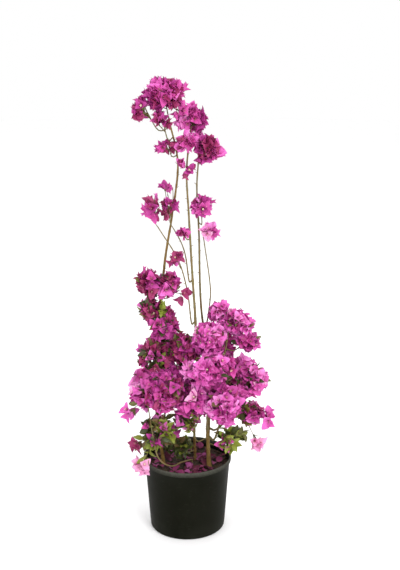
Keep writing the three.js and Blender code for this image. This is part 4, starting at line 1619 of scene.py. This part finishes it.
    def _bloom(self, place: Array, facing: Array, leaves_at: float, share: float = 1.0) -> bool:
        """Add a bloom on a side twig, where there is room for it.

        Args:
            place: The bloom's base.
            facing: The way it faces, before it nods a little to one side.
            leaves_at: The share of the twig at which its side twig leaves.
            share: Its size, as a share of the full size.

        Returns:
            True where it found room.
        """
        random, bud = self.random, BloomPattern.BUD
        for _ in range(self.TRIES):
            axis = leaning(facing, random.between(*self.NOD), random.angle())
            is_bud = random() < self.BUD_CHANCE and not self.sprig
            kind = bud if is_bud else int(random() * bud)
            size = self.bract_length * share * random.between(*self.BLOOM_SIZES)
            size *= self.BUD_SIZE if is_bud else 1.0
            turn = facing_frame(axis, random.angle())
            corners = place + self.pattern.blooms[kind].vertices @ (turn.T * size)
            if self.crown.in_box(corners) and self._may_grow(corners[self.pattern.outline()]):
                self._set_bloom(kind, place, turn, size)
                points = self._bowed(self._point_on(leaves_at), place, self.SIDE_BOW)
                radius = self.SPRIG_RADIUS if self.sprig else self.SIDE_RADIUS
                radii = np.linspace(radius, self.SIDE_TAPER * radius, len(points))
                self.crown.add_tube(self.mass, points, radii, self.SIDE_SIDES)
                return True
        return False

    def _bract_length(self) -> float:
        """Return the length of the mass's bracts, which grow from the bush up to the climbing shoots."""
        crown = self.crown
        if self.sprig:
            return crown.SPRIG_BRACT
        height = float(np.clip((self.mass.centre[2] - crown.GROWS_FROM) / crown.GROWS_OVER, 0, 1))
        length = crown.BUSH_BRACT + (crown.SHOOT_BRACT - crown.BUSH_BRACT) * height
        return min(length, self.LONGEST_SHARE * float(self.mass.radii.min()) * self._room_in_small())

    def _room_in_small(self) -> float:
        """Return how much farther blooms may reach in the smallest masses, which hold only a few."""
        return 1 + max(0.0, 1 - float(self.mass.radii.min()) / self.SMALL)

    def _set_bloom(self, kind: int, place: Array, turn: Array, size: float) -> None:
        """Add a bloom's bracts and, in some, its true flowers."""
        grown, node = self.crown.grown, self.mass.node
        is_own = self.sprig or self.random() < self.OWN_TONE
        tone = self.tone if is_own else self.mass.row.exposure.tone(self.random)
        # painted shade: a bloom deep in its mass takes a deeper tone
        if not self.sprig:
            tone = self._shaded(tone, place + turn[:, 2] * size * self.MIDDLE)
        grown.bracts[tone].add(self.pattern.blooms[kind], place, turn, size, node)
        if kind == BloomPattern.BUD:
            return
        for i in range(self.FLOWERS):
            way = leaning(turn[:, 2], self.FLOWER_LEAN, i * 2.1 + self.roll)
            lean = facing_frame(way, self.random() * ANY_ROLL)
            if self.random() < self.FLOWER_CHANCE:
                grown.tubes.add(self.pattern.tube, place, lean, size * self.TUBE_SIZE, node)
                if self.random() < self.mass.row.stars:
                    grown.stars.add(self.pattern.star, place, lean, size * self.STAR_SIZE, node)

    def _shaded(self, tone: Tone, place: Array) -> Tone:
        """Return a tone made deeper, as painted shade, the nearer a place is to the mass's middle."""
        share = float(self.mass.share_out(place)[0])
        steps = next((steps for depth, steps in self.SHADE_STEPS if share < depth), 0)
        tones = list(Tone)
        return tones[max(0, tones.index(tone) - steps)]

    def _leaf(self, place: Array, axis: Array, length: float, green: Green) -> bool:
        """Add a leaf where there is room for it, and return True if it was added."""
        crown, pattern = self.crown, self.crown.leaves
        shape = pattern.leaves[int(self.random() * len(pattern.leaves))]
        turn = facing_frame(axis, self.random.angle())
        corners = place + shape.vertices @ (turn.T * length)
        stalk = axis * pattern.STALK * length
        if not crown.in_box(corners + stalk) or not self._may_grow(corners[pattern.outline()]):
            return False
        crown.grown.leaves[green].add(shape, place + stalk, turn, length, self.mass.node)
        return True

    def _dealt_green(self, own_share: float) -> Green:
        """Deal a leaf's green: in that share of leaves it is the spray's own."""
        return self.green if self.random() < own_share else self.mass.row.exposure.green(self.random)

    def _leafy_spray(self, share_filled: float) -> None:
        """Fill the spray, or a share of it, with leaves, each on its stalk."""
        rule = self.crown.LEAF
        length = self.crown.blade_length(self.mass, rule)
        more = round(self.LEAVES * (length - rule.shortest) / (rule.longest - rule.shortest))
        for k in range(round((self.FEWEST_LEAVES + more) * share_filled)):
            lean = math.radians(rule.open_degrees) * self.random.between(*self.LEAF_LEAN)
            way = leaning(self.axis, lean, self.roll + k * GOLDEN_ANGLE)
            start = self._point_on(1.0 - self.LEAF_STEP * k)
            green = self._dealt_green(self.OWN_TONE)
            for size in self.LEAF_SIZES:
                length = self.crown.LEAF_LENGTH * size * self.random.between(*self.LEAF_RANGE)
                if self._leaf(start, way, length, green):
                    break

    def _leaves_along(self) -> None:
        """Set leaves up the twig in a spiral, the more the leafier the mass is."""
        span = float(np.linalg.norm(self.end - self.root))
        share = 0.05 + 0.95 * min(1.0, self.mass.row.leaf_share * 1.3)
        count = int(span / self.LEAF_SPACING * share + self.random())
        line = unit(self.end - self.root)
        for k in range(count):
            place = self._point_on(0.3 + 0.66 * (k + 0.5) / count)
            way = leaning(line, self.random.between(0.7, 1.15), self.roll + k * GOLDEN_ANGLE)
            length = self.crown.LEAF_LENGTH * self.random.between(*self.LOW_LEAF_SIZES)
            self._leaf(place, way, length, self._dealt_green(self.OWN_GREEN))

    def _inner_blooms(self) -> None:
        """Set a few blooms lower on the twig, which show in the gaps between the sprays."""
        if self.is_leafy or self.sprig:
            return
        for _ in range(1 + int(self.random() * 2)):
            share = self.random.between(*self.INNER_SHARES)
            line = unit(self.end - self.root)
            way = leaning(line, self.random.between(*self.INNER_LEAN), self.random.angle())
            place = self._point_on(share) + way * self.random.between(*self.INNER_OUT)
            self._bloom(place, unit(way + self.axis), max(0.05, share - 0.08))


# ------------------------ modelling by hand


class Bench:
    """The modelling tools that the made and the woody pieces share. Sizes are in metres."""

    @staticmethod
    def clear() -> None:
        """Leave edit mode and deselect everything."""
        if bpy.context.object and bpy.context.object.mode != "OBJECT":
            bpy.ops.object.mode_set(mode="OBJECT")
        bpy.ops.object.select_all(action="DESELECT")

    @staticmethod
    def turned_form(name: str, profile: Sequence[tuple[float, float]], segments: int) -> bpy.types.Object:
        """Raise a round form from a disc, one ring after another.

        Args:
            name: The object's name.
            profile: The radius and height of each ring, from the first disc to the last.
            segments: How many corners a ring has.

        Returns:
            The closed form, in object mode and selected.
        """
        Bench.clear()
        radius, height = profile[0]
        bpy.ops.mesh.primitive_circle_add(
            vertices=segments, radius=radius, fill_type="NGON", location=(0, 0, height), enter_editmode=True
        )
        bpy.ops.mesh.select_mode(type="EDGE")
        bpy.ops.mesh.select_all(action="SELECT")
        for next_radius, next_height in profile[1:]:
            bpy.ops.mesh.extrude_edges_move(TRANSFORM_OT_translate={"value": (0, 0, next_height - height)})
            scale = next_radius / radius
            bpy.ops.transform.resize(value=(scale, scale, 1), center_override=(0, 0, next_height))
            radius, height = next_radius, next_height
        bpy.ops.mesh.edge_face_add()
        bpy.ops.mesh.select_all(action="SELECT")
        bpy.ops.mesh.normals_make_consistent(inside=False)
        bpy.ops.object.mode_set(mode="OBJECT")
        form = bpy.context.object
        form.name = name
        bpy.ops.object.transform_apply(location=True, rotation=True, scale=True)
        return form

    @staticmethod
    def arc(
        centre: Point, radius: float, start: float, end: float, steps: int
    ) -> list[tuple[float, float]]:
        """Return the places on an arc in a profile, with its angles in degrees from outwards."""
        angles = (math.radians(start + (end - start) * i / steps) for i in range(steps + 1))
        return [(centre[0] + radius * math.cos(a), centre[1] + radius * math.sin(a)) for a in angles]

    @staticmethod
    def modifier(piece: bpy.types.Object, kind: str) -> bpy.types.Modifier:
        """Make a piece the only one selected, and return a new modifier on it."""
        Bench.clear()
        bpy.context.view_layer.objects.active = piece
        piece.select_set(True)
        bpy.ops.object.modifier_add(type=kind)
        return piece.modifiers[-1]

    @staticmethod
    def displaced(
        piece: bpy.types.Object, size: float, depth: float,
        stretch: Point = EVEN, group: str = "",
    ) -> None:
        """Push a piece's surface in and out by a procedural cloud texture, and apply it.

        Args:
            piece: The object.
            size: The size of the texture's features.
            depth: How far the surface moves in all.
            stretch: How far the pattern is stretched along each axis.
            group: The vertex group that moves, or all if empty.
        """
        texture = bpy.data.textures.new("relief", "CLOUDS")
        texture.noise_scale = size
        texture.noise_depth = 2
        bpy.ops.object.empty_add(location=(0, 0, 0))
        guide = bpy.context.object
        guide.scale = stretch
        bpy.context.view_layer.update()
        relief = Bench.modifier(piece, "DISPLACE")
        relief.texture = texture
        relief.texture_coords = "OBJECT"
        relief.texture_coords_object = guide
        relief.strength = depth
        relief.mid_level = 0.5
        relief.vertex_group = group
        bpy.ops.object.modifier_apply(modifier=relief.name)
        bpy.data.objects.remove(guide)
        bpy.data.textures.remove(texture)


# ------------------------ the pot and its soil


@dataclass
class NurseryPot:
    """The pot: a tapering wall with a rounded foot, a lip that stands out, and drain holes."""

    shoulder_radius: float = 0.1305
    foot_radius: float = 0.115
    wall: float = 0.0026
    floor: float = 0.0035
    lip_height: float = 0.016
    lip_slope: float = 0.0025
    lip_rounding: float = 0.0018
    lip_thickness: float = 0.004
    foot_rounding: float = 0.006
    foot_flat: float = 0.003
    fillet: float = 0.0012
    inner_bevel: float = 0.002
    ring_spacing: float = 0.06
    drain_holes: int = 6
    drain_radius: float = 0.007
    drain_circle: float = 0.088
    segments: int = 108
    sharp_degrees: float = 38.0
    finish: PotFinish = PotFinish()

    def __post_init__(self) -> None:
        """Take the height and the rim from the frame."""
        low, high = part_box("pot")
        self.height = high[2]
        self.rim_radius = (high[0] - low[0]) / 2
        self.shoulder = self.height - self.lip_height

    def wall_radius(self, height: float) -> float:
        """Return the outer wall's radius at a height."""
        return self.foot_radius + (self.shoulder_radius - self.foot_radius) * height / self.shoulder

    def profile(self) -> list[tuple[float, float]]:
        """Return the rings of the pot: up the outside, over the lip and down to the inner floor."""
        rounding, lip, fillet = self.foot_rounding, self.lip_rounding, self.fillet
        foot_middle = (self.wall_radius(rounding) - rounding, rounding)
        foot = (self.foot_radius - rounding - self.foot_flat, 0.0)
        rings = [foot, *Bench.arc(foot_middle, rounding, -90, 0, 6)]
        rings += [(self.wall_radius(self.ring_spacing * i), self.ring_spacing * i) for i in (1, 2, 3)]
        corner = fillet * 0.4
        rings += [
            (self.shoulder_radius, self.shoulder - fillet),
            (self.shoulder_radius + corner, self.shoulder),
            (self.rim_radius - corner, self.shoulder + self.lip_slope - corner),
            (self.rim_radius, self.shoulder + self.lip_slope + fillet),
        ]
        outer = (self.rim_radius - lip, self.height - lip)
        inner = (self.rim_radius - self.lip_thickness + lip, self.height - lip)
        rings += [*Bench.arc(outer, lip, 0, 90, 5), *Bench.arc(inner, lip, 90, 180, 5)]
        inside, bevel = self.shoulder_radius - self.wall, self.inner_bevel
        floor_edge = self.wall_radius(self.floor) - self.wall
        return [
            *rings,
            (inside + bevel * 0.3, self.shoulder + bevel),
            (inside, self.shoulder - bevel),
            (floor_edge, self.floor + 2 * bevel),
            (floor_edge - 2 * bevel, self.floor),
        ]

    def build(self) -> None:
        """Make the pot and stand it in for the frame's pot."""
        pot = Bench.turned_form("nursery_pot", self.profile(), self.segments)
        self._drill(pot)
        bpy.ops.object.shade_smooth_by_angle(angle=math.radians(self.sharp_degrees))
        hand_over(pot, self.finish.material(), ["pot"])

    def _drill(self, pot: bpy.types.Object) -> None:
        """Cut the drain holes through the floor."""
        for i in range(self.drain_holes):
            turn = math.tau * (i + 0.5) / self.drain_holes
            place = (self.drain_circle * math.cos(turn), self.drain_circle * math.sin(turn), self.floor / 2)
            Bench.clear()
            bpy.ops.mesh.primitive_cylinder_add(
                vertices=24, radius=self.drain_radius, depth=self.floor * 3, location=place
            )
            drill = bpy.context.object
            cut = Bench.modifier(pot, "BOOLEAN")
            cut.operation = "DIFFERENCE"
            cut.object = drill
            bpy.ops.object.modifier_apply(modifier=cut.name)
            bpy.data.objects.remove(drill)


@dataclass
class PottingSoil:
    """The potting mix, with its crumbs and the bracts that have fallen on it."""

    top: float = 0.204
    bottom: float = 0.0038
    segments: int = 96
    rings: int = 22
    clod_size: float = 0.014
    clod_depth: float = 0.0055
    side_gap: float = 0.0006
    foot_inset: float = 0.0145
    crumbs: int = 420
    crumb_size: tuple[float, float] = (1.6, 4.6)
    crumb_roughness: float = 0.9
    fallen: int = 110
    fallen_size: tuple[float, float] = (20.0, 32.0)
    lean: tuple[float, float] = (0.0, 0.7)
    seed: int = 7300

    NEAR_TOP = 0.001

    # what has fallen: its piece, its finish and its share
    FALLEN = (
        ("fallen_withered", BladeFinish("bract_withered", "581632", "3a0c20", "5e3028", 0.9, 0.5), 0.45),
        ("fallen_fresh", BladeFinish("bract_fallen", "7c2256", "541238", "86465a", 0.8, 0.4), 0.4),
        ("fallen_pale", BladeFinish("bract_blown", "9c4680", "742c5c", "a2647c", 0.8, 0.4), 0.15),
    )

    def __post_init__(self) -> None:
        """Take the soil's radius from the frame."""
        low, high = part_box("soil")
        self.radius = (high[0] - low[0]) / 2 - self.side_gap
        self.foot = self.radius - self.foot_inset

    def build(self) -> None:
        """Make the soil, its crumbs and the fallen bracts."""
        soil = Bench.turned_form("potting_soil", self._profile(), self.segments)
        low, wide = self.top - self.NEAR_TOP, self.radius - self.NEAR_TOP
        surface = [v.index for v in soil.data.vertices if v.co.z > low and v.co.xy.length < wide]
        soil.vertex_groups.new(name="surface").add(surface, 1.0, "REPLACE")
        for size in (self.clod_size, self.clod_size * 4):
            Bench.displaced(soil, size, self.clod_depth, group="surface")
        bpy.ops.object.shade_smooth()
        hand_over(soil, SoilFinish("damp_soil").material(), ["soil"])
        self._crumbs()
        self._fallen()

    def _profile(self) -> list[tuple[float, float]]:
        """Return the rings of the soil: its flat foot, its side, and its surface in to the middle."""
        inward = np.linspace(self.radius, 0.002, self.rings)
        return [(self.foot, self.bottom), *[(float(radius), self.top) for radius in inward]]

    def _spot(self, random: SeededNumbers, limit: float) -> Array:
        """Return a place on the surface, in millimetres."""
        reach, turn = math.sqrt(random()) * limit, random.angle()
        return np.array((reach * math.cos(turn), reach * math.sin(turn), self.top / MM))

    def _any_turn(self, random: SeededNumbers) -> Array:
        """Return a turn that leans to any side."""
        axis = leaning(UP, random.between(*self.lean), random() * ANY_ROLL)
        return facing_frame(axis, random() * ANY_ROLL)

    def _crumbs(self) -> None:
        """Scatter rough crumbs and bark chips over the surface."""
        random = SeededNumbers(self.seed)
        Bench.clear()
        bpy.ops.mesh.primitive_ico_sphere_add(subdivisions=2, radius=1.0, location=(0, 0, 0))
        model = bpy.context.object
        Bench.displaced(model, self.crumb_roughness, self.crumb_roughness)
        corners = np.array([v.co[:] for v in model.data.vertices])
        faces = [tuple(face.vertices) for face in model.data.polygons]
        bpy.data.objects.remove(model)
        shape = Shape(corners, faces, np.full((3 * len(faces), 2), 0.5))
        crumbs = JoinedPiece("soil_crumbs", "soil")
        for _ in range(self.crumbs):
            squash = np.diag((1.0, random.between(0.5, 1.0), random.between(0.35, 0.8)))
            place = self._spot(random, self.radius / MM - 5) + UP * random.between(-0.5, 1.6)
            turn = self._any_turn(random)
            crumbs.add(shape.turned(squash), place, turn, random.between(*self.crumb_size))
        crumbs.build(SoilFinish("crumbs", "2a1d12", "5d4229", "8a6c49"))

    def _fallen(self) -> None:
        """Scatter withered and fresh bracts over the surface."""
        random = SeededNumbers(self.seed + 1)
        bract = BloomPattern(BloomPattern.POINTED, BloomPattern.UPRIGHT).fallen
        for name, finish, share in self.FALLEN:
            piece = JoinedPiece(name, "deep_blossom")
            for _ in range(round(self.fallen * share)):
                place = self._spot(random, self.radius / MM - 22) + UP * random.between(2.5, 5)
                piece.add(bract, place, self._any_turn(random), random.between(*self.fallen_size))
            piece.build(finish)


# ------------------------ the woody limbs


@dataclass
class Woodwork:
    """The trunk, stems, boughs and whips as bark-covered wood, one piece for each limb."""

    skeleton: Skeleton
    ring_spacing: float = 3.2
    knot_spacing: float = 34.0
    knot_width: float = 3.4
    knot_share: float = 0.16
    fork_width: float = 5.0
    fork_share: float = 0.22
    fork_reach: float = 4.0

    OLD_WOOD = ("trunk", "stem_left", "stem_back")
    BURIED = 5.0
    # of old and of young wood: the relief as a share of the radius, and how round the tube is
    RELIEF = (0.24, 0.14)
    ROUNDNESS = (5, 3)
    FINE, COARSE = 0.0026, 0.011

    def build(self) -> None:
        """Make every limb and stand it in for its node."""
        old = BarkFinish("bark_old", "785c24", "38280f", "8e7638").material()
        young = BarkFinish("bark_young", "78643a", "463a20", "6a6a3c", 0.6, 9.0, 1100.0, 0.0003).material()
        for limb in self.skeleton.limbs.values():
            is_old = limb.name in self.OLD_WOOD
            hand_over(self._limb(limb, is_old), old if is_old else young, [limb.name])

    def _limb(self, limb: Limb, is_old: bool) -> bpy.types.Object:
        """Return one limb: a tapering path, made a mesh and given its relief."""
        points, radii = self._rings(limb)
        Bench.clear()
        bpy.ops.curve.primitive_nurbs_path_add(location=(0, 0, 0))
        path = bpy.context.object
        path.name = f"bark_{limb.name}"
        path.data.splines.clear()
        spline = path.data.splines.new("POLY")
        spline.points.add(len(points) - 1)
        places = np.column_stack((points * MM, np.ones(len(points))))
        spline.points.foreach_set("co", places.ravel())
        spline.points.foreach_set("radius", radii / radii.max())
        path.data.bevel_depth = float(radii.max()) * MM
        path.data.bevel_resolution = self.ROUNDNESS[0 if is_old else 1]
        path.data.use_fill_caps = True
        bpy.ops.object.convert(target="MESH")
        depth = float(radii.mean()) * MM * self.RELIEF[0 if is_old else 1]
        Bench.displaced(path, self.FINE, depth, (1.0, 1.0, 7.0))
        Bench.displaced(path, self.COARSE, depth * 1.1, (1.0, 1.0, 1.6))
        bpy.ops.object.shade_smooth()
        return path

    def _rings(self, limb: Limb) -> tuple[Array, Array]:
        """Return the middle and radius of each ring of a limb, with its knots and the swelling at forks."""
        count = math.ceil(limb.route.length / self.ring_spacing)
        shares = np.linspace(0, 1, count + 1)
        reach = shares * limb.route.length
        radii = np.array(limb.radius_at(shares))
        phase = len(limb.name) * 5.3
        to_knot = np.abs((reach + phase) % self.knot_spacing - self.knot_spacing / 2)
        radii *= 1 + self.knot_share * np.exp(-((to_knot / self.knot_width) ** 2))
        points = limb.route.at(shares)
        for other in self.skeleton.limbs.values():
            start = other.route.at(0.0)
            gap = np.linalg.norm(points - start, axis=1)
            if other is not limb and gap.min() < limb.root_radius + limb.flare + self.fork_reach:
                radii *= 1 + self.fork_share * np.exp(-((gap / (limb.root_radius + self.fork_width)) ** 2))
        inside = points[0] - UP * self.BURIED if limb.inner_start is None else limb.inner_start
        return np.vstack((inside, points)), np.concatenate((radii[:1], radii))


# ------------------------ the studio


@dataclass
class Studio:
    """A plain pale floor, soft light from all round, and the camera."""

    camera_place: Point = (0.039, -2.72, 1.5)
    camera_pitch: float = 75.0
    lens: float = 60.4
    floor_radius: float = 14.0
    world_strength: float = 1.0

    # each softbox: its name, its place, its size and its power
    SOFTBOXES = (
        ("key_light", (1.6, -2.4, 2.6), 1.6, 62.0),
        ("fill_light", (-2.4, -1.8, 1.6), 2.2, 20.0),
        ("top_light", (0.0, 0.6, 3.4), 2.0, 20.0),
        ("back_light", (0.4, 3.0, 2.0), 2.2, 14.0),
    )

    def build(self) -> None:
        """Set up the floor, the lights and the camera."""
        self._floor()
        self._world()
        for name, place, size, power in self.SOFTBOXES:
            self._softbox(name, place, size, power)
        self._camera()
        bpy.context.scene.view_settings.view_transform = "Standard"

    def _floor(self) -> None:
        """Lay the floor under the pot."""
        Bench.clear()
        bpy.ops.mesh.primitive_circle_add(
            vertices=96, radius=self.floor_radius, fill_type="NGON", location=(0, 0, 0)
        )
        floor = bpy.context.object
        floor.name = "studio_floor"
        floor.data.materials.append(FloorFinish().material())

    def _world(self) -> None:
        """Light the scene evenly from a white sky."""
        world = bpy.data.worlds.new("studio")
        world.use_nodes = True
        sky = world.node_tree.nodes["Background"]
        sky.inputs["Color"].default_value = (1.0, 1.0, 1.0, 1.0)
        sky.inputs["Strength"].default_value = self.world_strength
        bpy.context.scene.world = world

    @staticmethod
    def _softbox(name: str, place: Point, size: float, power: float) -> None:
        """Hang a softbox that looks at the middle of the plant."""
        bpy.ops.object.light_add(type="AREA", location=place)
        box = bpy.context.object
        box.name = name
        box.data.size = size
        box.data.energy = power
        low, high = CAD_BOX
        middle = (np.array(low) + np.array(high)) / 2
        away = unit(np.array(place) - middle)
        pitch = math.acos(away[2])
        box.rotation_euler = (pitch, 0.0, math.atan2(away[1], away[0]) + math.pi / 2)

    def _camera(self) -> None:
        """Set up the camera in front of the plant, a little above it."""
        pitch = math.radians(self.camera_pitch)
        bpy.ops.object.camera_add(location=self.camera_place, rotation=(pitch, 0, 0))
        camera = bpy.context.object
        camera.data.lens = self.lens
        bpy.context.scene.camera = camera


# ------------------------ the whole


@dataclass
class Bougainvillea:
    """The whole plant in its pot."""

    skeleton: Skeleton = field(default_factory=Skeleton)

    def build(self) -> None:
        """Make every piece in order."""
        NurseryPot().build()
        PottingSoil().build()
        Woodwork(self.skeleton).build()
        self._crown()

    def _crown(self) -> None:
        """Grow the crown, and build each kind of growth as its own pieces."""
        grown = Crown(self.skeleton).grow()
        twig_bark = BarkFinish("twig_bark", "6f5f35", "4a3a22", "66703a", 0.7, 5.0, 1300.0, 0.0002)
        grown.twigs.build(twig_bark)
        grown.thorns.build(BarkFinish("thorn_wood", "7d6a43", "4a3a22", "8f6a3e", 0.5, 2.0))
        grown.stars.build(PetalFinish("flower_cream", "f6efc9", "f2e2b4"))
        grown.tubes.build(PetalFinish("flower_tube", "c77a8e", "a8b06a"))
        for kind in (grown.bracts, grown.leaves):
            for tone, piece in kind.items():
                piece.build(tone.value)


def main() -> None:
    """Build the plant and the studio."""
    logging.basicConfig(level=logging.INFO, format="%(name)s: %(message)s")
    Studio().build()
    Bougainvillea().build()


if __name__ == "__main__":
    main()
